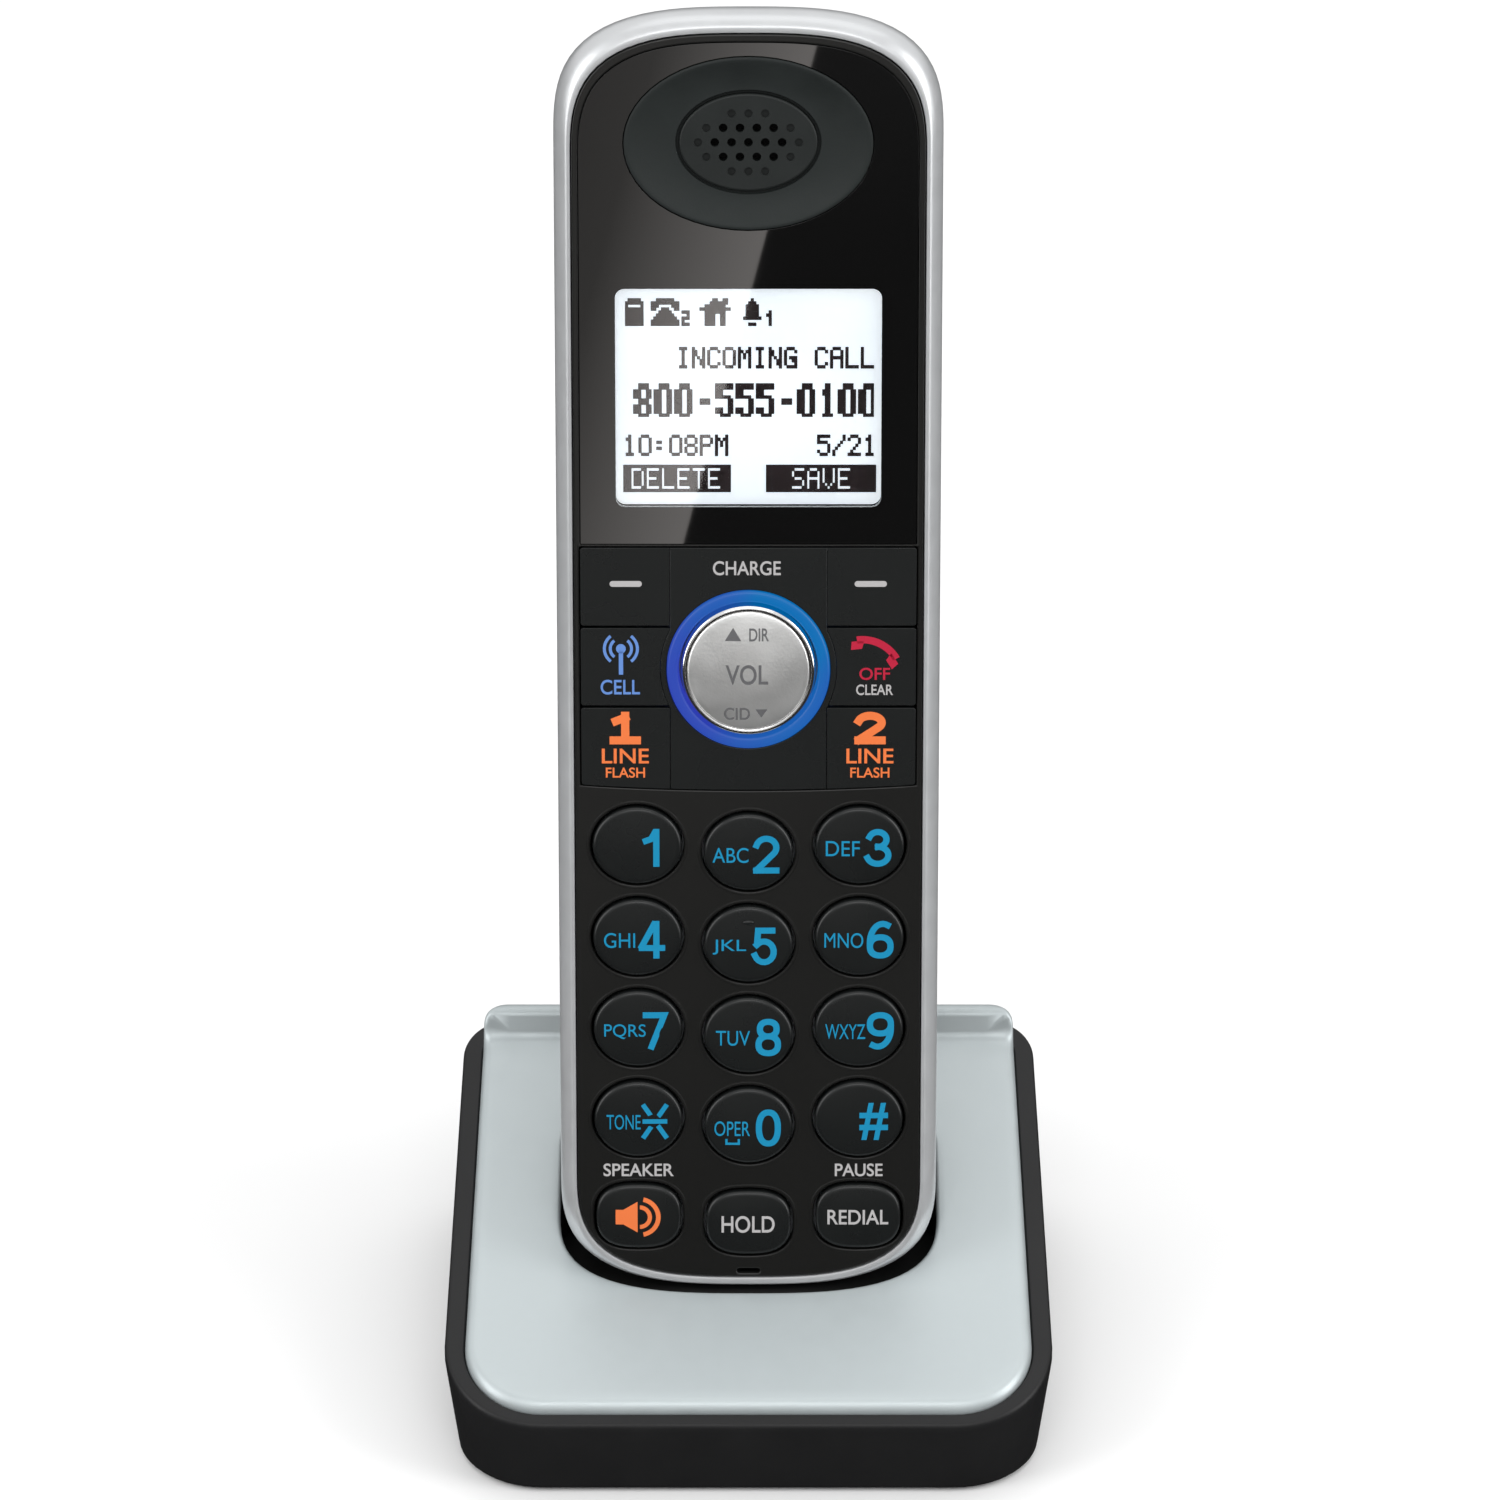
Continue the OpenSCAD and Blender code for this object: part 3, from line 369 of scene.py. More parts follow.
def box_in(axes, node):
    """A solid's lowest and highest corners in a set of axes."""
    turn = np.array(axes.inverted())
    points = np.array([v.co for v in NODES[node].data.vertices]) @ turn[:3, :3].T + turn[:3, 3]
    return Vector(points.min(0)), Vector(points.max(0))


corner = box_in(leaned, "front_shell")[0]
foot_place = Matrix.Translation((0, corner.y, corner.z - FOOT_EDGE * MM))
HANDSET = leaned @ foot_place @ Matrix.Scale(MM, 4)


def handset_box(node):
    return box_in(HANDSET, node)


FACE_A = handset_box("front_shell")[1].x
BAND_A = handset_box("side_frame")[1].x
BAND_D = handset_box("side_frame")[1].y
BAND_LOW = handset_box("side_frame")[0].z
HANDSET_L = handset_box("side_frame")[1].z - TOP_RIM
HANDSET_T = handset_box("rear_shell")[1].y
FLARE = BAND_A - FACE_A
print("lean", round(math.degrees(LEAN), 2), "width", round(2 * BAND_A, 2),
      "length", round(HANDSET_L, 2), "depth", round(HANDSET_T, 2))

# %% [markdown]
# ## Outlines and lofts
# The handset's ends are rounder than a box and squarer than an ellipse: a superellipse of the
# third power. A loft joins a stack of such outlines into a skin. Both are short pieces of mesh
# code, used again and again below.

# %% Outlines
QUARTER = 24        # steps in a quarter of an outline
END_POWER = 3.0     # the superellipse at the handset's ends


def corner_curve(power, steps=QUARTER):
    """Points (across, along) of a quarter superellipse, from its side to its end."""
    for i in range(steps + 1):
        turn = math.pi / 2 * i / steps
        c, s = math.cos(turn), math.sin(turn)
        size = (c ** power + s ** power) ** (1 / power)
        yield c / size, s / size


def round_ended(a, low, high, foot, top):
    """Outline (x, z) with straight sides at x = +-a and rounded ends."""
    curve = list(corner_curve(END_POWER))
    right = [(a * c, high - top + top * s) for c, s in curve]
    left = [(-x, z) for x, z in reversed(right)][1:]
    foot_left = [(-a * c, low + foot - foot * s) for c, s in curve]
    foot_right = [(-x, z) for x, z in reversed(foot_left)][1:]
    return right + left + foot_left + foot_right


def oval(w, h, x=0.0, z=0.0, power=2.0):
    curve = [(w / 2 * c, h / 2 * s) for c, s in corner_curve(power, 14)]
    quarters = (curve + [(-u, v) for u, v in reversed(curve)][1:]
                + [(-u, -v) for u, v in curve][1:] + [(u, -v) for u, v in reversed(curve)][1:-1])
    return [(x + u, z + v) for u, v in quarters]


def circle(r, x=0.0, z=0.0, n=96):
    return [(x + r * math.cos(math.tau * i / n), z + r * math.sin(math.tau * i / n))
            for i in range(n)]


def quarter_circle(x, z, r, k, n):
    """Quarter k of a circle, counted from the right."""
    turns = [math.pi / 2 * (k + i / n) for i in range(n + 1)]
    return [(x + r * math.cos(t), z + r * math.sin(t)) for t in turns]


def at_depth(outline, y):
    return [(x, y, z) for x, z in outline]


def smooth_through(xs, ys, x):
    """The height at x of a smooth curve through a few points."""
    xs, ys = np.array(xs, float), np.array(ys, float)
    slope = np.gradient(ys, xs)
    k = int(np.clip(np.searchsorted(xs, x) - 1, 0, len(xs) - 2))
    h = xs[k + 1] - xs[k]
    t = (x - xs[k]) / h
    return ((2 * t**3 - 3 * t**2 + 1) * ys[k] + (t**3 - 2 * t**2 + t) * h * slope[k]
            + (3 * t**2 - 2 * t**3) * ys[k + 1] + (t**3 - t**2) * h * slope[k + 1])


# %% Meshes
SQUARE_TO = 0.9995      # a face's normal this close to an axis counts as square to it


def shade(mesh, sharp=35, flat=None):
    """Smooth shading with sharp edges past an angle; faces square to the axis flat stay flat."""
    mesh.polygons.foreach_set("use_smooth", [True] * len(mesh.polygons))
    mesh.set_sharp_from_angle(angle=math.radians(sharp))
    if flat is not None:
        for face in mesh.polygons:
            if abs(face.normal[flat]) > SQUARE_TO:
                for loop in face.loop_indices:
                    mesh.edges[mesh.loops[loop].edge_index].use_edge_sharp = True


def tidy(mesh, near=0.0005):
    """Merges doubled points and turns every face outwards."""
    work = bmesh.new()
    work.from_mesh(mesh)
    bmesh.ops.remove_doubles(work, verts=work.verts, dist=near)
    bmesh.ops.dissolve_degenerate(work, edges=work.edges, dist=near / 10)
    bmesh.ops.recalc_face_normals(work, faces=work.faces)
    work.to_mesh(mesh)
    work.free()


def loft(name, rings, ends=True):
    """A skin through rings of the same number of points, closed at its ends or into a loop."""
    n = len(rings[0])
    points = [p for ring in rings for p in ring]
    last = len(rings) - (1 if ends else 0)
    faces = [(j * n + i, j * n + (i + 1) % n, (j + 1) % len(rings) * n + (i + 1) % n,
              (j + 1) % len(rings) * n + i) for j in range(last) for i in range(n)]
    if ends:
        faces += [tuple(reversed(range(n))), tuple((len(rings) - 1) * n + i for i in range(n))]
    mesh = bpy.data.meshes.new(name)
    mesh.from_pydata(points, [], faces)
    tidy(mesh)
    return link(name, mesh)


def baked(thing):
    """The evaluated object as a plain mesh: modifiers and curves are turned into faces."""
    bpy.context.view_layer.update()
    graph = bpy.context.evaluated_depsgraph_get()
    mesh = bpy.data.meshes.new_from_object(thing.evaluated_get(graph), depsgraph=graph)
    name = thing.name
    bpy.data.objects.remove(thing)
    mesh.name = name
    return link(name, mesh)


def flat_curve(name, outlines, extrude):
    """A filled flat curve with a thickness; an outline inside another is its hole."""
    curve = bpy.data.curves.new(name, "CURVE")
    curve.dimensions, curve.fill_mode, curve.extrude = "2D", "BOTH", extrude
    for outline in outlines:
        spline = curve.splines.new("POLY")
        spline.points.add(len(outline) - 1)
        spline.points.foreach_set("co", [c for x, z in outline for c in (x, z, 0, 1)])
        spline.use_cyclic_u = True
    return curve


def plate(name, outlines, front, back, bevel=0.15, steps=2):
    """A flat plate from outlines, the first its edge and the rest its holes, with rounded edges."""
    curve = flat_curve(name, outlines, (back - front) / 2 - bevel)
    curve.bevel_depth = bevel
    curve.offset = -bevel
    curve.bevel_resolution = steps
    made = baked(link(name, curve))
    made.data.transform(Matrix.Translation((0, (front + back) / 2, 0))
                        @ Matrix.Rotation(math.pi / 2, 4, "X"))
    tidy(made.data)
    return made


def joined(name, parts):
    """Several meshes as one object; each keeps its own finish."""
    work = bmesh.new()
    finishes = []
    for part in parts:
        first = len(work.faces)
        work.from_mesh(part.data)
        work.faces.ensure_lookup_table()
        own = list(part.data.materials) or [None]
        for face in work.faces[first:]:
            coat = own[min(face.material_index, len(own) - 1)]
            if coat not in finishes:
                finishes.append(coat)
            face.material_index = finishes.index(coat)
    mesh = bpy.data.meshes.new(name)
    work.to_mesh(mesh)
    work.free()
    for part in parts:
        bpy.data.objects.remove(part)
    for material in finishes:
        mesh.materials.append(material)
    return link(name, mesh)


def painted(thing, name):
    """The same thing, in one finish all over."""
    thing.data.materials.clear()
    thing.data.materials.append(FINISHES[name])
    return thing


def cut(thing, tool, how="DIFFERENCE"):
    """Cuts, joins or meets one mesh with another, and removes the tool."""
    step = thing.modifiers.new("cut", "BOOLEAN")
    step.operation = how
    step.solver = "EXACT"
    step.object = tool
    made = baked(thing)
    bpy.data.objects.remove(tool)
    return made


def fit(thing, axes, body, nodes, sharp=35, flat=None, finish_name=None):
    """Puts a finished piece in its place, on its body, instead of the solids it stands for."""
    if finish_name:
        painted(thing, finish_name)
    shade(thing.data, sharp, flat)
    thing.data.transform(axes)
    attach(thing, body)
    if nodes:
        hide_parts(*nodes)
    return thing


print("helpers ready")

# %% [markdown]
# ## The silver band
# The band runs round the whole handset between the black face and the black back. Its section
# swells from a narrow bright lip beside the face to the widest line of the handset. It is one
# closed loft: out over the lip, round the swell, and back along the inside.

# %% Band
FOOT_ROUND = 15.0
TOP_ROUND = 16.5
LIP_OUT = 0.55       # width of the bright lip beside the face
BAND_GAP = 0.12      # dark line between the face and the band
REAR_STEP = 0.5      # the band's back edge stands this far above the face's rim
SWELL_D = 3.5        # the band is widest this far behind the face
TUCK_D = 6.2         # from here the band closes in a little towards the back
TUCK = 0.15
BAND_SECTION = (0.1, 0.25, 0.45, 0.7, 1.0, 1.4, 1.9, 2.5, 3.2, 4.0, 5.0, 6.2, 7.2, 8.2, 8.8)


def band_outline(y, shrink=0.0):
    """The band's outside at a depth behind the face."""
    if y < SWELL_D:
        out = FLARE - (FLARE - LIP_OUT) * (1 - y / SWELL_D) ** 2.4
    else:
        out = FLARE - TUCK * max(0.0, (y - TUCK_D) / (BAND_D - TUCK_D)) ** 2
    crest = smooth_through([0, 0.5, 1.6, SWELL_D, TUCK_D, BAND_D],
                           [0, 0.75, 1.5, TOP_RIM, 1.4, REAR_STEP], y)
    sole = smooth_through([0, 0.5, 1.6, SWELL_D, BAND_D], [0, -0.25, -0.5, -0.7, -0.7], y)
    return round_ended(FACE_A + out - shrink, sole + shrink, HANDSET_L + crest - shrink,
                       FOOT_ROUND, TOP_ROUND)


def face_outline(grow=0.0):
    return round_ended(FACE_A + grow, FOOT_EDGE - grow, HANDSET_L - 0.9 + grow,
                       FOOT_ROUND - 0.6, TOP_ROUND - 0.6)


def side_band():
    inner = face_outline(BAND_GAP)
    rings = [at_depth(inner, BAND_D), at_depth(inner, 0.15),
             at_depth(face_outline(BAND_GAP + 0.05), 0.03),
             at_depth(face_outline(BAND_GAP + 0.14), 0.0), at_depth(band_outline(0, 0.12), 0.0),
             at_depth(band_outline(0, 0.03), 0.03)]
    rings += [at_depth(band_outline(y), y) for y in BAND_SECTION]
    rings += [at_depth(band_outline(BAND_D, 0.08), BAND_D)]
    return loft("side_band", rings, ends=False)


band = fit(side_band(), HANDSET, "handset", ["side_frame"],
           finish_name="silver_band")
print("band faces:", len(band.data.polygons))

# %% [markdown]
# ## The black face
# The face is one moulded plate. A curve can hold its outline and every hole at once; filled,
# thickened and bevelled, it gives each key hole the small rounded edge that catches the light.
# The places of the holes are read from the solids of the keys that stand in them.

# %% Face plate
DIAL_KEYS = ["key_1", "key_2", "key_3", "key_4", "key_5", "key_6", "key_7", "key_8", "key_9",
             "key_star", "key_0", "key_hash"]
LOW_KEYS = ["speaker_key", "hold_key", "redial_key"]
LEFT_KEYS = ["soft_key_left", "cell_key", "line_1_key"]
RIGHT_KEYS = ["soft_key_right", "off_key", "line_2_key"]
KEY_GAP = 0.3
FACE_T = 2.0
LOW_KEY_POWER = 2.7
FUNC_BOW = 0.7       # the function keys' lower edge dips this much in the middle
SKIRT = 0.5          # wall of the face plate behind its rim
KEY_FLANGE = 1.2     # a dial key's solid is this much wider behind the face than where it shows

lens_low, lens_high = handset_box("display_lens")
FUNC_A = handset_box("soft_key_right")[1].x
FUNC_TOP = handset_box("soft_key_left")[1].z
NAV = (handset_box("nav_key")[0] + handset_box("nav_key")[1]) / 2
NAV_R = (handset_box("nav_key")[1].x - handset_box("nav_key")[0].x) / 2
RING_R = handset_box("charge_ring")[1].x
BEZEL_R = handset_box("nav_bezel")[1].x
FUNC_H = FUNC_TOP - handset_box("soft_key_left")[0].z
FUNC_GAP = handset_box("soft_key_left")[0].z - handset_box("cell_key")[1].z
FUNC_LOW = FUNC_TOP - 3 * FUNC_H - 2 * FUNC_GAP


def key_place(node):
    low, high = handset_box(node)
    return (low.x + high.x) / 2, (low.z + high.z) / 2


def crown_size(node):
    """Width and height of the part of a key that shows: behind the face the solid may be wider."""
    low, high = handset_box(node)
    flange = KEY_FLANGE if node in DIAL_KEYS else 0.0
    return high.x - low.x - flange, high.z - low.z - flange


def key_outline(node, grow=0.0):
    w, h = crown_size(node)
    power = 2.0 if node in DIAL_KEYS else LOW_KEY_POWER
    return oval(w + 2 * grow, h + 2 * grow, *key_place(node), power)


def bowed(x, grow=0.0):
    """Height of the bowed lower edge of the function keys."""
    return FUNC_LOW - grow - FUNC_BOW * (1 - (x / FUNC_A) ** 2)


def function_window(grow):
    a = FUNC_A + grow
    steps = [a - 2 * a * i / 24 for i in range(25)]
    return [(-a, FUNC_TOP + grow), (a, FUNC_TOP + grow)] + [(x, bowed(x, grow)) for x in steps]


def lens_outline(grow=0.0):
    """The window: straight below, round above."""
    shape = round_ended(lens_high.x + grow, 0, lens_high.z + grow, FOOT_ROUND, TOP_ROUND - 1.2)
    floor_z = lens_low.z - grow
    kept = [p for p in shape if p[1] > floor_z + 1]
    return kept + [(-lens_high.x - grow, floor_z), (lens_high.x + grow, floor_z)]


def slot_outline(half, low, high):
    """The microphone's slot: a short bar with round ends."""
    r, z = (high - low) / 2, (low + high) / 2
    right = [(half - r + r * math.cos(t), z + r * math.sin(t)) for t in np.linspace(-1.57, 1.57, 9)]
    return right + [(-x, 2 * z - y) for x, y in right]


def face_plate():
    holes = [lens_outline(0.06), function_window(0.12), slot_outline(1.5, 1.5, 2.1)]
    holes += [key_outline(node, KEY_GAP) for node in DIAL_KEYS + LOW_KEYS]
    front = plate("face", [face_outline()] + holes, 0.0, FACE_T, bevel=0.22, steps=3)
    outer, inner, start = face_outline(-0.02), face_outline(-SKIRT), FACE_T - 0.3
    skirt = loft("skirt", [at_depth(outer, start), at_depth(outer, BAND_D),
                           at_depth(inner, BAND_D), at_depth(inner, start)], ends=False)
    return joined("face_plate", [front, skirt])


face = fit(painted(face_plate(), "black_face"), HANDSET, "handset", ["front_shell"],
           flat=1)
print("face:", len(face.data.polygons), "faces,", len(DIAL_KEYS + LOW_KEYS), "key holes,",
      "rim beside the keys", round(FACE_A - FUNC_A, 2), "mm")

# %% [markdown]
# Round each key the face is pressed down into a shallow dish, so a thumb finds the key. The rim
# of that dish shows as a soft line outside the gap. A thin ring with a rounded section, laid on
# the face, gives the line without bending the whole plate. One Geometry Nodes tree sweeps the
# same section along every outline, and its inputs set the ring's width and height.

# %% Dish rims
def tree_with(name, inputs):
    """A Geometry Nodes tree with named inputs, given as (name, socket kind, value)."""
    tree = bpy.data.node_groups.new(name, "GeometryNodeTree")
    tree.interface.new_socket("Geometry", in_out="INPUT", socket_type="NodeSocketGeometry")
    tree.interface.new_socket("Geometry", in_out="OUTPUT", socket_type="NodeSocketGeometry")
    for label, kind, value in inputs:
        socket = tree.interface.new_socket(label, in_out="INPUT", socket_type="NodeSocket" + kind)
        if value is not None:
            socket.default_value = value
    return tree, tree.nodes.new("NodeGroupInput"), tree.nodes.new("NodeGroupOutput")


def closing(tree, entry, leave, result):
    """A tree's end: instances become real geometry, and the whole takes the finish it was given."""
    real = wire(tree, "GeometryNodeRealizeInstances")
    coat = wire(tree, "GeometryNodeSetMaterial")
    tree.links.new(result, real.inputs[0])
    tree.links.new(real.outputs[0], coat.inputs["Geometry"])
    tree.links.new(entry.outputs["Finish"], coat.inputs["Material"])
    tree.links.new(coat.outputs[0], leave.inputs[0])
    return tree


def grown(base, tree, name, **values):
    """Runs a tree on an object, with its inputs set by identifier, and returns the plain mesh."""
    step = base.modifiers.new(name, "NODES")
    step.node_group = tree
    for item in tree.interface.items_tree:
        key = item.name.replace(" ", "_").lower()
        if item.item_type == "SOCKET" and item.in_out == "INPUT" and key in values:
            step[item.identifier] = values[key]
    base.name = name
    return baked(base)


def outline_curve(name, outlines, y):
    """Closed outlines as one mesh of edges, ready to be swept along."""
    points, edges = [], []
    for outline in outlines:
        first, n = len(points), len(outline)
        points += [(x, y, z) for x, z in outline]
        edges += [(first + i, first + (i + 1) % n) for i in range(n)]
    mesh = bpy.data.meshes.new(name)
    mesh.from_pydata(points, edges, [])
    return link(name, mesh)


def sweep_tree():
    tree, entry, leave = tree_with("sweep a rounded section", [
        ("Section width", "Float", 1.0), ("Section depth", "Float", 1.0),
        ("Section round", "Float", 0.2), ("Finish", "Material", None)])
    path = wire(tree, "GeometryNodeMeshToCurve")
    section = wire(tree, "GeometryNodeCurvePrimitiveQuadrilateral")
    rounded = wire(tree, "GeometryNodeFilletCurve", mode="POLY")
    rounded.inputs["Count"].default_value = 4
    skin = wire(tree, "GeometryNodeCurveToMesh")
    tree.links.new(entry.outputs["Geometry"], path.inputs[0])
    tree.links.new(entry.outputs["Section width"], section.inputs["Width"])
    tree.links.new(entry.outputs["Section depth"], section.inputs["Height"])
    tree.links.new(section.outputs[0], rounded.inputs["Curve"])
    tree.links.new(entry.outputs["Section round"], rounded.inputs["Radius"])
    tree.links.new(path.outputs[0], skin.inputs["Curve"])
    tree.links.new(rounded.outputs[0], skin.inputs["Profile Curve"])
    return closing(tree, entry, leave, skin.outputs[0])


SWEEP = sweep_tree()
DISH_OUT = 0.62      # middle of the rim, out from the key's edge
RIM_Y = 0.02         # depth of the rim's middle
RIM_SECTION = {"section_width": 0.34, "section_depth": 0.12, "section_round": 0.05}
rims = outline_curve("rims", [key_outline(n, DISH_OUT) for n in DIAL_KEYS + LOW_KEYS], RIM_Y)
rims = grown(rims, SWEEP, "dish_rims", finish=FINISHES["black_face"], **RIM_SECTION)
tidy(rims.data)
fit(rims, HANDSET, "handset", [], sharp=60)
print("dish rims:", len(rims.data.polygons), "faces")

# %% [markdown]
# ## Window, mask and display
# The window is a clear plate that covers the top of the face. Behind it lies a black printed
# mask with one opening for the display, so the display's edge looks sunk below the surface. The
# earpiece passes through both in an oval hole.

# %% Window and mask
LENS_T = lens_high.y - lens_low.y
EAR_LOW, EAR_HIGH = handset_box("earpiece_pad")
EAR_Z = (EAR_LOW.z + EAR_HIGH.z) / 2
EAR_W, EAR_H = EAR_HIGH.x - EAR_LOW.x, EAR_HIGH.z - EAR_LOW.z
LCD_LOW, LCD_HIGH = handset_box("lcd_panel")
LCD_FRAME = 1.5
LCD_Z = (LCD_LOW.z + LCD_HIGH.z) / 2
LCD_W, LCD_H = 2 * (LCD_HIGH.x - LCD_FRAME), LCD_HIGH.z - LCD_LOW.z - 2 * LCD_FRAME
LCD_ROUND = 1.2


def display_outline(w, h, r=LCD_ROUND):
    turns = [(w / 2 - r, h / 2 - r, 0), (r - w / 2, h / 2 - r, 1), (r - w / 2, r - h / 2, 2),
             (w / 2 - r, r - h / 2, 3)]
    return [p for x, z, k in turns for p in quarter_circle(x, LCD_Z + z, r, k, 8)]


opening = display_outline(LCD_W, LCD_H)
edges = [lens_outline(), oval(EAR_W + 0.1, EAR_H + 0.1, 0, EAR_Z), opening]
printed = plate("window_frame", edges, 0.0, LENS_T, bevel=0.03)
pane = plate("window_pane", [opening], 0.0, LENS_T, bevel=0.01, steps=1)
window = joined("clear_window", [painted(printed, "window_black"), painted(pane, "clear_lens")])
fit(window, HANDSET, "handset", ["display_lens"], flat=1)
mask = plate("window_mask", edges, LENS_T + 0.01, FACE_T, bevel=0.02)
fit(mask, HANDSET, "handset", ["lens_mask"], flat=1, finish_name="black_print")
panel_outline = display_outline(LCD_W + 2 * LCD_FRAME, LCD_H + 2 * LCD_FRAME, 0.4)
panel = plate("display_panel", [panel_outline], LCD_LOW.y, LCD_HIGH.y, bevel=0.08)
fit(panel, HANDSET, "handset", ["lcd_panel"], flat=1, finish_name="lcd")
print("window, mask and display panel; display", round(LCD_W, 1), "x", round(LCD_H, 1), "mm")

# %% [markdown]
# The display is a grid of dots, 104 across and 72 down. Its words are drawn with a small dot
# font. Every lit dot becomes a point, and a Geometry Nodes tree puts one tiny block on each
# point, a little larger than its cell, so the strokes of a letter run together as ink does.

# %% Dot font
DOT_FONT = {
    "A": "0e11111f111111", "C": "0e11101010110e", "D": "1e11111111111e", "E": "1f10101e10101f",
    "G": "0e11101713110f", "I": "0e04040404040e", "L": "1010101010101f", "M": "111b1515111111",
    "N": "11191915131311", "O": "0e11111111110e", "P": "1e11111e101010", "S": "0f10100e01011e",
    "T": "1f040404040404", "V": "11111111110a04", "0": "0e11111111110e", "1": "040c040404040e",
    "2": "0e11010204081f", "5": "1f101e0101110e", "8": "0e11110e11110e", ":": "00000c000c0000",
    "-": "0000000e000000", "/": "01010204081010", " ": "00000000000000"}
COLUMNS, ROWS = 104, 72


def glyph(letter):
    """A letter as 7 rows of 5 dots."""
    code = DOT_FONT[letter]
    rows = [int(code[2 * r:2 * r + 2], 16) for r in range(7)]
    return np.array([[row >> (4 - c) & 1 for c in range(5)] for row in rows], bool)


def dot_words(words, tall=7, wide=5, bold=False):
    """Words as a block of dots, stretched from 7 rows by 5 columns."""
    rows = [int(r * 7 / tall) for r in range(tall)]
    cols = [int(c * 5 / wide) for c in range(wide)]
    letters = [glyph(w)[rows][:, cols] for w in words]
    block = np.concatenate([np.pad(letter, ((0, 0), (0, 1 + bold))) for letter in letters], 1)
    if bold:
        block[:, 1:] |= block[:, :-1].copy()
    return block[:, :-1 - bold]


def set_dots(grid, block, row, left=None, right=None):
    left = right - block.shape[1] if left is None else left
    grid[row:row + block.shape[0], left:left + block.shape[1]] |= block


# %% What the display shows
PICTURES = {        # top row, left column, dots
    "cell": (4, 4, ["0111110", "1111111", "1000001", "1111111", "1111111", "1111111", "1111111",
                    "1111111", "1111111"]),
    "phone": (4, 14, ["00111111100", "11111111111", "11100000111", "11001110011", "00011111000",
                      "00111111100", "01111111110", "11111111111", "11111111111"]),
    "two": (8, 26, ["111", "001", "111", "100", "111"]),
    "house": (4, 33, ["000001100110", "000011111110", "001111111100", "111111111111",
                      "001111111100", "001111001100", "001111001100", "001111001100",
                      "001111001100"]),
    "bell": (4, 50, ["0001000", "0011100", "0111110", "0111110", "0111110", "0111110", "1111111",
                     "0000000", "0011100"]),
    "one": (8, 59, ["01", "11", "01", "01", "01"])}


def display_dots():
    grid = np.zeros((ROWS, COLUMNS), bool)
    for top, left, rows in PICTURES.values():
        set_dots(grid, np.array([[c == "1" for c in row] for row in rows]), top, left)
    set_dots(grid, dot_words("INCOMING CALL"), 20, right=101)
    set_dots(grid, dot_words("800-555-0100", 11, 6, bold=True), 32, right=101)
    set_dots(grid, dot_words("10:08PM"), 49, 3)
    set_dots(grid, dot_words("5/21"), 49, right=102)
    for words, left, right in (("DELETE", 3, 45), ("SAVE", 59, 102)):
        grid[59:68, left:right] = True
        block = dot_words(words)
        start = (left + right - block.shape[1]) // 2
        grid[60:67, start:start + block.shape[1]] &= ~block
    return grid


def dot_tree():
    tree, entry, leave = tree_with("blocks on dots", [
        ("Dot width", "Float", 0.3), ("Dot height", "Float", 0.3), ("Dot depth", "Float", 0.05),
        ("Finish", "Material", None)])
    size = wire(tree, "ShaderNodeCombineXYZ")
    block = wire(tree, "GeometryNodeMeshCube")
    each = wire(tree, "GeometryNodeInstanceOnPoints")
    tree.links.new(entry.outputs["Dot width"], size.inputs[0])
    tree.links.new(entry.outputs["Dot depth"], size.inputs[1])
    tree.links.new(entry.outputs["Dot height"], size.inputs[2])
    tree.links.new(size.outputs[0], block.inputs["Size"])
    tree.links.new(entry.outputs["Geometry"], each.inputs["Points"])
    tree.links.new(block.outputs["Mesh"], each.inputs["Instance"])
    return closing(tree, entry, leave, each.outputs[0])


def points_at(name, places):
    mesh = bpy.data.meshes.new(name)
    mesh.from_pydata([tuple(p) for p in places], [], [])
    return link(name, mesh)


DOT_FILL_W, DOT_FILL_H = 1.3, 1.18      # a dot's size as parts of its cell
DOT_T = 0.05
DOT_Y = LCD_LOW.y - 0.03
cell_w, cell_h = LCD_W / COLUMNS, LCD_H / ROWS
lit = np.argwhere(display_dots())
places = [(-LCD_W / 2 + (c + 0.5) * cell_w, DOT_Y, LCD_Z + LCD_H / 2 - (r + 0.5) * cell_h)
          for r, c in lit]
dots = grown(points_at("dots", places), dot_tree(), "display_dots",
             dot_width=DOT_FILL_W * cell_w, dot_height=DOT_FILL_H * cell_h, dot_depth=DOT_T,
             finish=FINISHES["lcd_dot"])
fit(dots, HANDSET, "handset", [], flat=1)
print("dots lit:", len(lit))

# %% [markdown]
# ## The earpiece
# A soft matt pad fills the oval opening. It dishes inwards to a small grille, so the ear seals
# round the sound holes. The pad is a loft of ovals. The grille is a plate, and its holes are
# punched with Geometry Nodes: one cylinder stands on each point of a pattern, and a boolean
# takes them all out at once. The outer holes are blind, so they get a shallow punch.

# %% Ear pad
GRILLE_LOW, GRILLE_HIGH = handset_box("earpiece_grille")
GRILLE_W, GRILLE_H = GRILLE_HIGH.x - GRILLE_LOW.x, GRILLE_HIGH.z - GRILLE_LOW.z
DISH_D = 1.05        # depth of the pad's dish
GROOVE = 0.5         # black groove between the pad and the grille


def ear_ring(w, h, y):
    return at_depth(oval(w, h, 0, EAR_Z), y)


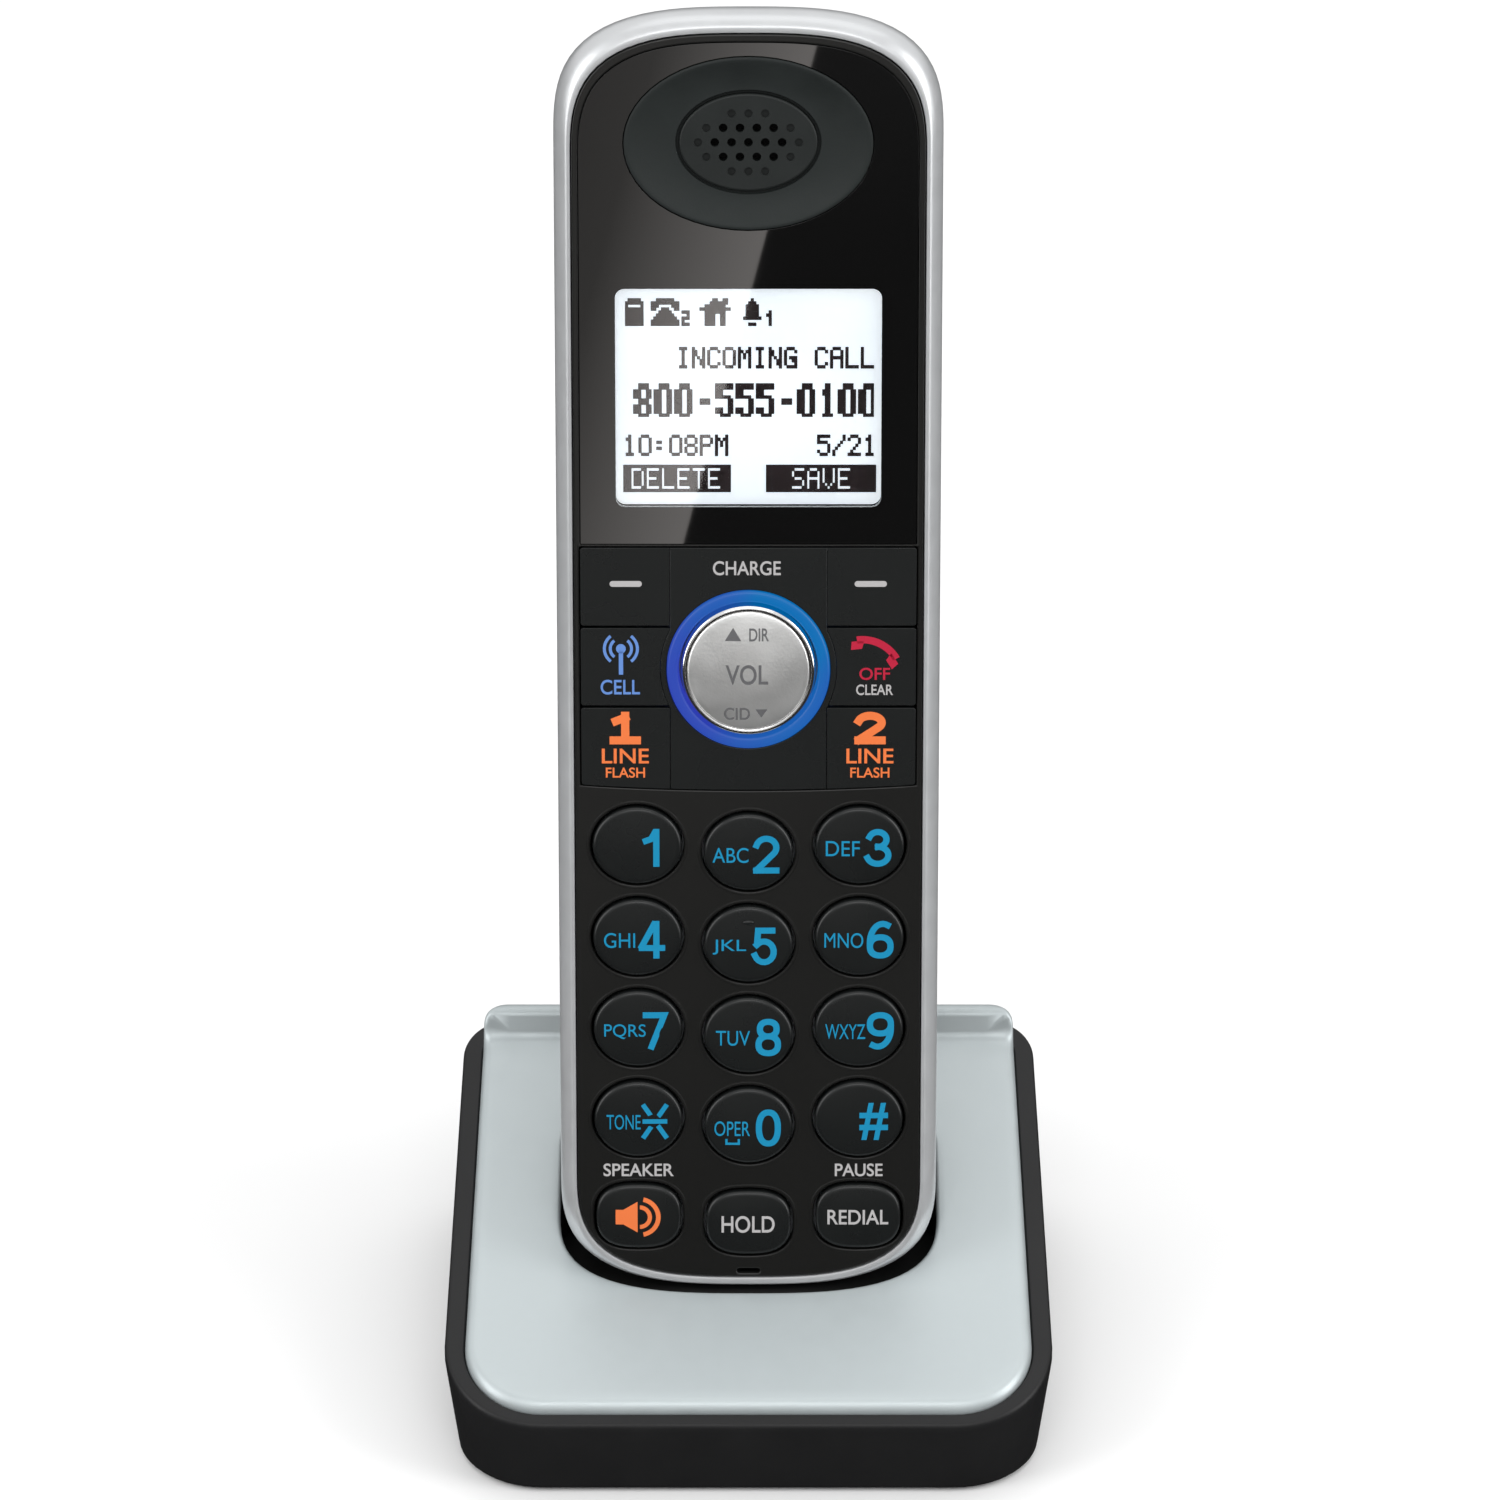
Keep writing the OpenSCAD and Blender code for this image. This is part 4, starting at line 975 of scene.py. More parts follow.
def ear_pad():
    rings = [ear_ring(EAR_W - 0.1, EAR_H - 0.1, FACE_T), ear_ring(EAR_W - 0.1, EAR_H - 0.1, 0.15),
             ear_ring(EAR_W - 0.2, EAR_H - 0.2, -0.02), ear_ring(EAR_W - 0.5, EAR_H - 0.5, -0.1),
             ear_ring(EAR_W - 1.0, EAR_H - 1.0, -0.08)]
    for i in range(1, 13):
        t = i / 12
        w = EAR_W - 1.0 + t * (GRILLE_W + 2 * GROOVE - EAR_W + 1.0)
        h = EAR_H - 1.0 + t * (GRILLE_H + 2 * GROOVE - EAR_H + 1.0)
        rings.append(ear_ring(w, h, -0.08 + (DISH_D + 0.08) * (1 - (1 - t) ** 1.6)))
    w, h = GRILLE_W + 2 * GROOVE - 0.12, GRILLE_H + 2 * GROOVE - 0.12
    rings += [ear_ring(w, h, DISH_D + 0.08), ear_ring(w, h, DISH_D + 0.7),
              ear_ring(GRILLE_W + 0.1, GRILLE_H + 0.1, DISH_D + 0.7),
              ear_ring(GRILLE_W + 0.1, GRILLE_H + 0.1, FACE_T + 0.6)]
    rings += [ear_ring(EAR_W - 4, EAR_H - 4, FACE_T + 0.6), ear_ring(EAR_W - 4, EAR_H - 4, FACE_T)]
    return loft("ear_pad", rings, ends=False)


fit(ear_pad(), HANDSET, "handset", ["earpiece_pad"], sharp=40, finish_name="ear_black")


# %% Sound holes
def punch_tree():
    tree, entry, leave = tree_with("punch a pattern of holes", [
        ("Punches", "Object", None), ("Hole radius", "Float", 0.5), ("Hole depth", "Float", 1.0),
        ("Finish", "Material", None)])
    centres = wire(tree, "GeometryNodeObjectInfo")
    punch = wire(tree, "GeometryNodeMeshCylinder", Vertices=28)
    turned = wire(tree, "GeometryNodeTransform")
    turned.inputs["Rotation"].default_value = (math.pi / 2, 0, 0)
    each = wire(tree, "GeometryNodeInstanceOnPoints")
    real = wire(tree, "GeometryNodeRealizeInstances")
    take = wire(tree, "GeometryNodeMeshBoolean", operation="DIFFERENCE", solver="EXACT")
    tree.links.new(entry.outputs["Punches"], centres.inputs["Object"])
    tree.links.new(entry.outputs["Hole radius"], punch.inputs["Radius"])
    tree.links.new(entry.outputs["Hole depth"], punch.inputs["Depth"])
    tree.links.new(punch.outputs["Mesh"], turned.inputs["Geometry"])
    tree.links.new(centres.outputs["Geometry"], each.inputs["Points"])
    tree.links.new(turned.outputs[0], each.inputs["Instance"])
    tree.links.new(each.outputs[0], real.inputs[0])
    tree.links.new(entry.outputs["Geometry"], take.inputs["Mesh 1"])
    tree.links.new(real.outputs[0], take.inputs["Mesh 2"])
    return closing(tree, entry, leave, take.outputs["Mesh"])


PUNCH = punch_tree()


def punched(thing, places, radius, depth, coat, name):
    """The thing with a hole at each place; the punch's middle stands on the place."""
    centres = points_at("centres", places)
    made = grown(thing, PUNCH, name, punches=centres, hole_radius=radius, hole_depth=depth,
                 finish=coat)
    bpy.data.objects.remove(centres)
    return made


HOLE_DX, HOLE_DZ, HOLE_R = 2.10, 1.83, 0.55
HOLE_ROWS = [3, 6, 7, 6, 3]
BLIND_R, BLIND_D = HOLE_R * 0.94, 0.8      # the outer holes' radius, and how long their punch is
THROUGH = 6.0                              # a punch this long goes right through
GRILLE_Y = GRILLE_LOW.y
holes = [((i - (n - 1) / 2) * HOLE_DX, GRILLE_Y, EAR_Z + (2 - row) * HOLE_DZ,
          0 < row < 4 and 0 < i < n - 1) for row, n in enumerate(HOLE_ROWS) for i in range(n)]
grille = plate("ear_grille", [oval(GRILLE_W, GRILLE_H, 0, EAR_Z)], GRILLE_Y, FACE_T + 0.6,
               bevel=0.25, steps=3)
black = FINISHES["grille_black"]
open_holes, blind_holes = [h[:3] for h in holes if h[3]], [h[:3] for h in holes if not h[3]]
grille = punched(grille, open_holes, HOLE_R, THROUGH, black, "ear_grille")
grille = punched(grille, blind_holes, BLIND_R, BLIND_D, black, "ear_grille")
fit(grille, HANDSET, "handset", ["earpiece_grille"], sharp=40, flat=1)
print("sound holes:", len(holes), "of which open:", len(open_holes))

# %% [markdown]
# ## Rocker and light ring
# The rocker is a turned disc: a polished rim, a fine groove, and a sand-blasted top that bulges
# a little. A turned shape needs only its section, given as radius and depth. The ring of light
# round it is a swept section, like the dish rims, but taller and rounder.

# %% Rocker
def turned_piece(name, section, x, z, n=96):
    """A turned solid from (radius, depth) pairs, about an axis along the depth."""
    return loft(name, [at_depth(circle(r, x, z, n), y) for r, y in section])


NAV_LOW, NAV_HIGH = handset_box("nav_key")
NAV_TOP = NAV_LOW.y
CAP_R = NAV_R - 0.85
CAP_BULGE = 0.62


def cap_y(x, z):
    """Depth of the rocker's bulging top at a point."""
    return NAV_TOP + CAP_BULGE * ((x - NAV.x) ** 2 + (z - NAV.z) ** 2) / CAP_R ** 2


def rocker():
    rim = [(NAV_R - 0.02, NAV_HIGH.y)]
    rim += [(NAV_R - way_in, NAV_TOP + down) for way_in, down in
            ((0.02, 1.0), (0.05, 0.85), (0.18, 0.66), (0.38, 0.56), (0.58, 0.55), (0.72, 0.62),
             (0.76, 0.75))]
    outer = turned_piece("rocker_rim", rim, NAV.x, NAV.z)
    top = [(CAP_R + 0.05, NAV_TOP + 1.2), (CAP_R + 0.05, NAV_TOP + CAP_BULGE + 0.12),
           (CAP_R - 0.02, NAV_TOP + CAP_BULGE + 0.03)]
    top += [(CAP_R * k, cap_y(NAV.x + CAP_R * k, NAV.z)) for k in
            (0.97, 0.9, 0.8, 0.7, 0.6, 0.5, 0.4, 0.3, 0.2, 0.1, 0.03)]
    cap = turned_piece("rocker_cap", top, NAV.x, NAV.z)
    return [painted(outer, "rocker_rim"), painted(cap, "rocker_silver")]


# %% [markdown]
# Legends are short words, numbers and simple signs. Blender's own font gives them; a curve's
# offset makes the strokes bolder, and scaling to a set width gives the narrow letters that fit
# on a small key. Each legend is laid on the surface below it, following its bulge, and is a few
# hundredths of a millimetre thick, as ink is.

# %% Legends
INK_T = 0.03            # ink above the surface
INK_ROOT = 0.12         # and below it, so no legend floats
FLAT_T = 0.05           # half the thickness that a legend is drawn with, before it is laid


def laid(thing, surface, ink):
    """Lays a flat piece, drawn in x and y, on the surface y = surface(x, z)."""
    for v in thing.data.vertices:
        x, z, up = v.co.x, v.co.y, v.co.z > 0
        v.co = (x, surface(x, z) - (INK_T if up else -INK_ROOT), z)
    tidy(thing.data, 0.00002)
    return painted(thing, ink)


def word(words, left, right, middle, tall, surface, ink, weight=0.012):
    """A word between two sides, with its height and the height of its middle."""
    curve = bpy.data.curves.new("word", "FONT")
    curve.body = words
    curve.offset = weight
    curve.extrude = FLAT_T
    thing = baked(link("word", curve))
    points = np.array([v.co for v in thing.data.vertices])
    low, high = points.min(0), points.max(0)
    grow_x, grow_z = (right - left) / (high[0] - low[0]), tall / (high[1] - low[1])
    thing.data.transform(Matrix.Translation((left, middle - tall / 2, 0))
                         @ Matrix.Diagonal((grow_x, grow_z, 1, 1))
                         @ Matrix.Translation((-low[0], -low[1], 0)))
    return laid(thing, surface, ink)


def sign(outlines, surface, ink):
    """A flat sign from closed outlines; an outline inside another is its hole."""
    return laid(baked(link("sign", flat_curve("sign", outlines, FLAT_T))), surface, ink)


def bent_bar(x, z, r, width, start, stop, n=20):
    """An arc-shaped bar, with angles in degrees."""
    turns = [math.radians(start + (stop - start) * i / n) for i in range(n + 1)]
    outer = [(x + (r + width / 2) * math.cos(t), z + (r + width / 2) * math.sin(t)) for t in turns]
    inner = [(x + (r - width / 2) * math.cos(t), z + (r - width / 2) * math.sin(t)) for t in turns]
    return outer + inner[::-1]


def straight_bar(x0, z0, x1, z1, width):
    way = Vector((x1 - x0, z1 - z0)).normalized() * width / 2
    return [(x0 - way.y, z0 + way.x), (x0 + way.y, z0 - way.x), (x1 + way.y, z1 - way.x),
            (x1 - way.y, z1 + way.x)]


# %% [markdown]
# The big numbers are narrow, even strokes. Each is a few paths in a unit box: straight runs, bends
# and closed rings. A path gets its width here, so every number is as bold as the next.

# %% Numbers from strokes
STROKE_LIFT = 0.006     # each stroke of a number stands this much above the one before
RING_POWER = 2.3        # the closed rings are a little squarer than ovals


def bend(u, v, ru, rv, start, stop, n=16):
    turns = [math.radians(start + (stop - start) * i / n) for i in range(n + 1)]
    return [(u + ru * math.cos(t), v + rv * math.sin(t)) for t in turns]


RINGS = {"0": [(0.5, 0.5, 0.5, 0.5)], "6": [(0.5, 0.29, 0.5, 0.29)],
         "8": [(0.5, 0.77, 0.43, 0.23), (0.5, 0.27, 0.5, 0.27)]}
PATHS = {
    "1": [[(0.0, 0.72), (0.5, 0.78), (0.85, 0.97)], [(1, 0), (1, 1)]],
    "2": [bend(0.5, 0.72, 0.5, 0.28, 165, -40) + [(0.04, 0.03)], [(0, 0), (1, 0)]],
    "3": [bend(0.46, 0.765, 0.44, 0.235, 160, -88), bend(0.46, 0.27, 0.54, 0.27, 88, -162)],
    "4": [[(0.6, 0.98), (0.0, 0.29)], [(0, 0.24), (1, 0.24)], [(0.72, 0), (0.72, 1)]],
    "5": [[(0.92, 1), (0.13, 1), (0.08, 0.64)], bend(0.46, 0.33, 0.54, 0.33, 138, -160)],
    "6": [bend(0.62, 0.42, 0.62, 0.58, 182, 68)],
    "7": [[(0, 1), (0.96, 1), (0.3, 0)]],
    "I": [[(0.1, 0.78), (0.5, 0.93)], [(0.5, 0), (0.5, 1)], [(0, 0), (1, 0)]]}


def stroke(path, width):
    """A closed outline round a path, with mitred bends and square ends."""
    path = [Vector(p) for p in path]
    ways = [(b - a).normalized() for a, b in zip(path, path[1:])]
    path[0], path[-1] = path[0] - ways[0] * width / 2, path[-1] + ways[-1] * width / 2
    left, right = [], []
    for i, point in enumerate(path):
        before, after = ways[max(i - 1, 0)], ways[min(i, len(ways) - 1)]
        way = (before + after).normalized()
        side = Vector((-way.y, way.x)) * width / 2 / max(0.4, way.dot(after))
        left.append(tuple(point + side))
        right.append(tuple(point - side))
    return left + right[::-1]


def number_sign(number, left, right, middle, tall, surface, ink, width=0.8):
    """One big number between two sides."""
    turned = number == "9"
    number = "6" if turned else number
    w, h = right - left - width, tall - width
    spin = -1 if turned else 1
    centre = Vector(((left + right) / 2, middle))

    def at(u, v):
        return tuple(centre + spin * Vector(((u - 0.5) * w, (v - 0.5) * h)))

    marks = []
    for i, path in enumerate(PATHS.get(number, [])):
        marks.append(sign([stroke([at(u, v) for u, v in path], width)],
                          lambda x, z, i=i: surface(x, z) - STROKE_LIFT * i, ink))
    for u, v, ru, rv in RINGS.get(number, []):
        x, z = at(u, v)
        marks.append(sign([oval(2 * ru * w + grow, 2 * rv * h + grow, x, z, RING_POWER)
                           for grow in (width, -width)], surface, ink))
    return marks


print("numbers from strokes:", sorted(set(PATHS) | set(RINGS) | {"9"}))

# %% Rocker with its engraved words
def nav_words():
    """Three words and two arrows, given by their places across and up from the rocker's middle."""
    words = (("DIR", 0.1, 2.6, 4.8, 1.65), ("VOL", -2.9, 2.5, -0.4, 2.6),
             ("CID", -3.1, 0.2, -5.6, 1.65))
    arrows = ([(-3.0, 4.0), (-0.9, 4.0), (-1.95, 5.7)], [(0.9, -5.0), (2.4, -5.0), (1.65, -6.1)])
    marks = [word(text, left, right, NAV.z + middle, tall, cap_y, "ink_engraved")
             for text, left, right, middle, tall in words]
    return marks + [sign([[(x, NAV.z + up) for x, up in arrow]], cap_y, "ink_engraved")
                    for arrow in arrows]


nav = joined("rocker_disc", rocker() + nav_words())
fit(nav, HANDSET, "nav_rocker", ["nav_key"], sharp=40)

ring_low, ring_high = handset_box("charge_ring")
RING_IN = NAV_R + 0.3
ring_middle = circle((RING_R + RING_IN) / 2, NAV.x, NAV.z)
ring_path = outline_curve("ring", [ring_middle], (ring_low.y + ring_high.y) / 2)
ring = grown(ring_path, SWEEP, "light_ring", section_width=RING_R - RING_IN - 0.04,
             section_depth=ring_high.y - ring_low.y, section_round=0.45,
             finish=FINISHES["ring_light"])
tidy(ring.data)
fit(ring, HANDSET, "handset", ["charge_ring"], sharp=50)
print("rocker radius", round(NAV_R, 2), "ring radius", round(RING_R, 2), "mm")

# %% [markdown]
# ## Function keys and centre piece
# Six flat keys flank the rocker, three on each side, and one fixed piece carries the light ring
# between them. Their seams are hair-thin grooves. Each key is a plate from its outline: it
# follows the window's bowed lower edge, and its inner side gives way to the round of the ring.

# %% Centre piece
SEAM = 0.05          # gap between the keys and the centre piece, above and below the ring
CENTRE_A = 9.95      # half width of the centre piece above and below the ring
FUNC_RISE = 0.15     # the keys and the centre piece stand this far above the face


def centre_outline():
    """Straight sides above and below the ring, and the round wall beside it."""
    rise = math.sqrt(BEZEL_R ** 2 - CENTRE_A ** 2)
    turn = math.atan2(rise, CENTRE_A)
    right = [(BEZEL_R * math.cos(t), NAV.z + BEZEL_R * math.sin(t))
             for t in np.linspace(turn, -turn, 25)]
    low = [(x, bowed(x)) for x in np.linspace(CENTRE_A, -CENTRE_A, 13)]
    left = [(-x, z) for x, z in reversed(right)]
    return [(CENTRE_A, FUNC_TOP)] + right + low + left + [(-CENTRE_A, FUNC_TOP)]


def on_key(x, z):
    """The flat top of the function keys and the centre piece, as a surface for legends."""
    return -FUNC_RISE


centre = plate("ring_holder", [centre_outline(), circle(RING_R + 0.04, NAV.x, NAV.z)], -FUNC_RISE,
               FACE_T + 0.6, bevel=0.08)
charge = word("CHARGE", -4.5, 4.1, NAV.z + 13.3, 1.85, on_key, "ink_grey")
fit(joined("ring_holder", [painted(centre, "black_key"), charge]), HANDSET, "handset",
    ["nav_bezel"], flat=1)


# %% Function keys
FUNC_CORNER = 0.35


def function_key_outline(side, row):
    """One key's outline: outer corners rounded, inner side against the centre piece."""
    top = FUNC_TOP - row * (FUNC_H + FUNC_GAP)
    low = top - FUNC_H
    inner, gap_r = CENTRE_A + SEAM, BEZEL_R + SEAM
    corner_x = FUNC_A - FUNC_CORNER
    edge = []
    for z in np.linspace(top, low, 33):
        reach = gap_r ** 2 - (z - NAV.z) ** 2
        edge.append((max(inner, math.sqrt(reach)) if reach > 0 else inner, z))
    if row == 2:
        edge[-1] = (edge[-1][0], bowed(edge[-1][0]))
    under = [(x, bowed(x) if row == 2 else low)
             for x in np.linspace(edge[-1][0], corner_x, 12)][1:]
    low_corner = quarter_circle(corner_x, low + FUNC_CORNER, FUNC_CORNER, -1, 4)
    high_corner = quarter_circle(corner_x, top - FUNC_CORNER, FUNC_CORNER, 0, 4)
    outline = edge + under[:-1] + low_corner + high_corner
    return [(side * x, z) for x, z in outline][::side]


def antenna_sign(x, z):
    """A mast with waves on both sides."""
    outlines = [straight_bar(x, z - 3.4, x, z - 0.2, 0.55), circle(0.62, x, z, 24)]
    for r in (1.35, 2.1):
        outlines += [bent_bar(x, z, r, 0.38, -52, 52), bent_bar(x, z, r, 0.38, 128, 232)]
    return [sign([o], on_key, "ink_sky") for o in outlines]


def hang_up_sign(x, z):
    """A handset lying aslant: an arched grip with a block at each end."""
    shape = bent_bar(0, -4.4, 5.0, 0.95, 56, 124)
    blocks = [[(-3.3, -0.75), (-1.9, 0.1), (-1.7, -1.0), (-2.9, -1.75)],
              [(1.9, 0.1), (3.3, -0.75), (2.9, -1.75), (1.7, -1.0)]]
    turn = Matrix.Rotation(math.radians(-26), 2)
    return [sign([[tuple(Vector((x, z)) + turn @ Vector(p)) for p in o]], on_key, "ink_red")
            for o in [shape] + blocks]


SOFT_MARKS = {"soft_key_left": -15.55, "soft_key_right": 15.5}


def function_legends(node):
    z = NAV.z
    if node in SOFT_MARKS:
        dash = [(SOFT_MARKS[node] + u, z + 11.25 + v) for u, v in slot_outline(2.05, -0.38, 0.38)]
        return [sign([dash], on_key, "ink_grey")]
    if node == "cell_key":
        return antenna_sign(-16.2, z + 2.75) + [
            word("CELL", -18.8, -13.8, z - 2.3, 1.95, on_key, "ink_sky")]
    if node == "off_key":
        return hang_up_sign(16.4, z + 2.9) + [
            word("OFF", 14.1, 18.0, z - 0.55, 1.6, on_key, "ink_red"),
            word("CLEAR", 13.7, 18.4, z - 2.65, 1.4, on_key, "ink_grey")]
    number, x = ("I", -15.7) if node == "line_1_key" else ("2", 15.5)
    return number_sign(number, x - 2.0, x + 2.0, z - 7.7, 4.3, on_key, "ink_orange", 1.05) + [
            word("LINE", x - 3.0, x + 3.0, z - 11.4, 1.95, on_key, "ink_orange"),
            word("FLASH", x - 2.5, x + 2.5, z - 13.6, 1.35, on_key, "ink_orange")]


for side, column in ((-1, LEFT_KEYS), (1, RIGHT_KEYS)):
    for row, node in enumerate(column):
        cap = plate(node + "_cap", [function_key_outline(side, row)], -FUNC_RISE, FACE_T - 0.6,
                    bevel=0.05)
        whole = joined(node + "_cap", [painted(cap, "black_key")] + function_legends(node))
        fit(whole, HANDSET, node, [node], flat=1)
print("function keys:", LEFT_KEYS + RIGHT_KEYS)

# %% [markdown]
# ## Dial keys
# Fifteen oval keys stand in their holes. Each is a loft of ovals: a straight side, a rounded
# shoulder that catches the light at its left and right, and a top that bulges slightly. Letters
# stand to the left of each big number, as on every dial pad.

# %% Keys
SHOULDER = 0.62      # width of the rounded shoulder
CROWN = 0.12         # how much the middle of a key's top stands above its edge
BIG, SMALL = 5.05, 2.0      # heights of numbers and letters
# what each key says, and its left and right sides from the key's middle
LETTERS = {"key_2": ("ABC", -4.6, 0.0), "key_3": ("DEF", -4.35, 0.0),
           "key_4": ("GHI", -4.3, -0.3), "key_5": ("JKL", -4.6, -0.3),
           "key_6": ("MNO", -4.5, 0.5), "key_7": ("PQRS", -4.35, 1.0),
           "key_8": ("TUV", -4.2, 0.2), "key_9": ("WXYZ", -4.35, 0.8),
           "key_star": ("TONE", -4.1, 0.3), "key_0": ("OPER", -4.4, 0.2)}
NUMBERS = {"key_1": ("1", 0.73, 2.86), "key_2": ("2", 0.6, 3.97), "key_3": ("3", 0.73, 4.06),
           "key_4": ("4", 0.16, 3.55), "key_5": ("5", 0.54, 3.65), "key_6": ("6", 0.95, 4.4),
           "key_7": ("7", 0.63, 3.9), "key_8": ("8", 0.9, 4.2), "key_9": ("9", 1.0, 4.5),
           "key_0": ("0", 0.95, 4.2)}


def key_cap(node):
    """The key's body, and the function that gives the depth of its top at a point."""
    w, h = crown_size(node)
    x, z = key_place(node)
    top = handset_box(node)[0].y

    def ring(shrink, y):
        return at_depth(key_outline(node, -shrink), y)

    rings = [ring(0, FACE_T + 0.05), ring(0, top + SHOULDER)]
    for i in range(1, 7):
        turn = math.pi / 2 * i / 6
        rings.append(ring(SHOULDER * (1 - math.cos(turn)),
                          top + SHOULDER * (1 - math.sin(turn)) * 0.8 + CROWN))
    flat_w = min(w, h) / 2 - SHOULDER
    for k in (0.97, 0.85, 0.7, 0.55, 0.4, 0.25, 0.1):
        rings.append(ring(SHOULDER + flat_w * (1 - k), top + CROWN * k * k))

    def surface(px, pz):
        return top + CROWN * min(1.0, (2 * (px - x) / w) ** 2 + (2 * (pz - z) / h) ** 2)

    return painted(loft(node, rings), "black_key"), surface


def star_sign(x, z, surface):
    arms = [straight_bar(x - 1.55, z - 2.3, x + 1.55, z + 2.3, 0.62),
            straight_bar(x - 1.55, z + 2.3, x + 1.55, z - 2.3, 0.62),
            straight_bar(x - 1.6, z, x + 1.6, z, 0.6)]
    return [sign([arm], surface, "ink_blue") for arm in arms]


def speaker_sign(x, z, surface):
    """A small loudspeaker with two waves."""
    box = [(x - 3.0, z - 1.0), (x - 2.0, z - 1.0), (x - 0.15, z - 2.1), (x - 0.15, z + 2.1),
           (x - 2.0, z + 1.0), (x - 3.0, z + 1.0)]
    waves = [bent_bar(x + 0.1, z, 1.35, 0.55, -88, 88), bent_bar(x + 0.1, z, 2.45, 0.6, -78, 78)]
    return [sign([o], surface, "ink_orange") for o in [box] + waves]


def dial_legends(node, surface):
    x, z = key_place(node)
    marks = []
    if node in LETTERS:
        words, left, right = LETTERS[node]
        marks.append(word(words, x + left, x + right, z - 0.3, SMALL, surface, "ink_blue", 0.0))
    if node == "key_hash":
        marks.append(word("#", x + 0.1, x + 3.8, z - 0.2, BIG, surface, "ink_blue", 0.02))
    if node in NUMBERS:
        words, left, right = NUMBERS[node]
        marks += number_sign(words, x + left, x + right, z - 0.2, BIG, surface, "ink_blue")
    if node == "key_star":
        marks += star_sign(x + 2.15, z - 0.2, surface)
    if node == "key_0":
        tray = [(x - 3.0, z - 1.7), (x - 2.7, z - 1.7), (x - 2.7, z - 2.2), (x - 1.4, z - 2.2),
                (x - 1.4, z - 1.7), (x - 1.1, z - 1.7), (x - 1.1, z - 2.5), (x - 3.0, z - 2.5)]
        marks.append(sign([tray], surface, "ink_blue"))
    if node == "speaker_key":
        marks += speaker_sign(x, z, surface)
    if node == "hold_key":
        marks.append(word("HOLD", x - 3.5, x + 3.4, z - 0.1, 2.3, surface, "ink_grey"))
    if node == "redial_key":
        marks.append(word("REDIAL", x - 4.0, x + 3.9, z, 2.0, surface, "ink_grey"))
    return marks


def finger_nub(node, surface):
    """The small bump on the middle key that a finger finds without looking."""
    x, z = key_place(node)
    top = surface(x, z + 3)
    section = [(0.9, 0.25), (0.9, 0.0), (0.8, -0.12), (0.55, -0.2), (0.25, -0.24)]
    rings = [at_depth(oval(1.6 * r, 0.75 * r, x, z + 3.0), top + y) for r, y in section]
    return painted(loft("nub", rings), "black_key")


for node in DIAL_KEYS + LOW_KEYS:
    cap, surface = key_cap(node)
    marks = dial_legends(node, surface)
    if node == "key_5":
        marks.append(finger_nub(node, surface))
    fit(joined(node + "_cap", [cap] + marks), HANDSET, node, [node], sharp=50)
print("dial keys:", len(DIAL_KEYS + LOW_KEYS))

# %% Words printed on the face
LABEL_Z, LABEL_H = 15.7, 1.75
labels = [word(text, left, right, LABEL_Z, LABEL_H, lambda x, z: 0.0, "ink_grey")
          for text, left, right in (("SPEAKER", -18.8, -9.7), ("PAUSE", 11.2, 17.4))]
fit(joined("face_labels", labels), HANDSET, "handset", [], sharp=30)
print("labels on the face:", len(labels))

# %% [markdown]
# ## The back shell
# The back closes in along a quarter of an ellipse, so the handset sits round in the hand. The
# shell is hollow. Booleans do here what a milling cutter would do: they add the posts and the
# battery bay to the hollow shell, then take out the door's opening, the screw holes and the two
# slots for the charging contacts.

# %% Blocks and bars for cutting
def prism(name, outline, x0, x1):
    """A solid with the same (y, z) outline from x0 to x1."""
    return loft(name, [[(x0, y, z) for y, z in outline], [(x1, y, z) for y, z in outline]])


def block(x0, x1, y0, y1, z0, z1):
    return prism("block", [(y0, z0), (y1, z0), (y1, z1), (y0, z1)], x0, x1)


def bar(r, y0, y1, x, z, n=32):
    return loft("bar", [at_depth(circle(r, x, z, n), y0), at_depth(circle(r, x, z, n), y1)])


# %% Back shell's hollow form
REAR_SIDE = 0.246 * 2 * BAND_A
REAR_TOP, REAR_FOOT, REAR_FALL = 15.0, 7.0, 0.25      # how far the top and the foot close in
SHELL_WALL = 1.8
REAR_STEPS = 16


def rear_ring(turn, inset, y=None):
    """One ring of the back, from 0 at the band to a right angle at the flat of the back."""
    way_in = 1 - math.cos(turn)
    deep = BAND_D + (HANDSET_T - BAND_D) * math.sin(turn)
    side = FACE_A + FLARE - TUCK - REAR_SIDE * way_in - inset
    top = HANDSET_L + REAR_STEP - REAR_TOP * way_in - REAR_FALL * (deep - BAND_D) - inset
    outline = round_ended(side, BAND_LOW + REAR_FOOT * way_in + inset, top,
                          FOOT_ROUND - inset / 2, TOP_ROUND - inset / 2)
    return at_depth(outline, min(deep, HANDSET_T - inset) if y is None else y)


def rear_form(inset=0.0):
    turns = [math.pi / 2 * i / REAR_STEPS for i in range(REAR_STEPS + 1)]
    rings = [rear_ring(t, inset) for t in turns if BAND_D + (HANDSET_T - BAND_D) * math.sin(t)
             < HANDSET_T - inset or inset == 0]
    if inset:
        rings = ([rear_ring(0, inset, BAND_D - 1)] + rings[1:]
                 + [rear_ring(turns[-3], inset, HANDSET_T - inset)])
    return loft("rear_form", rings)


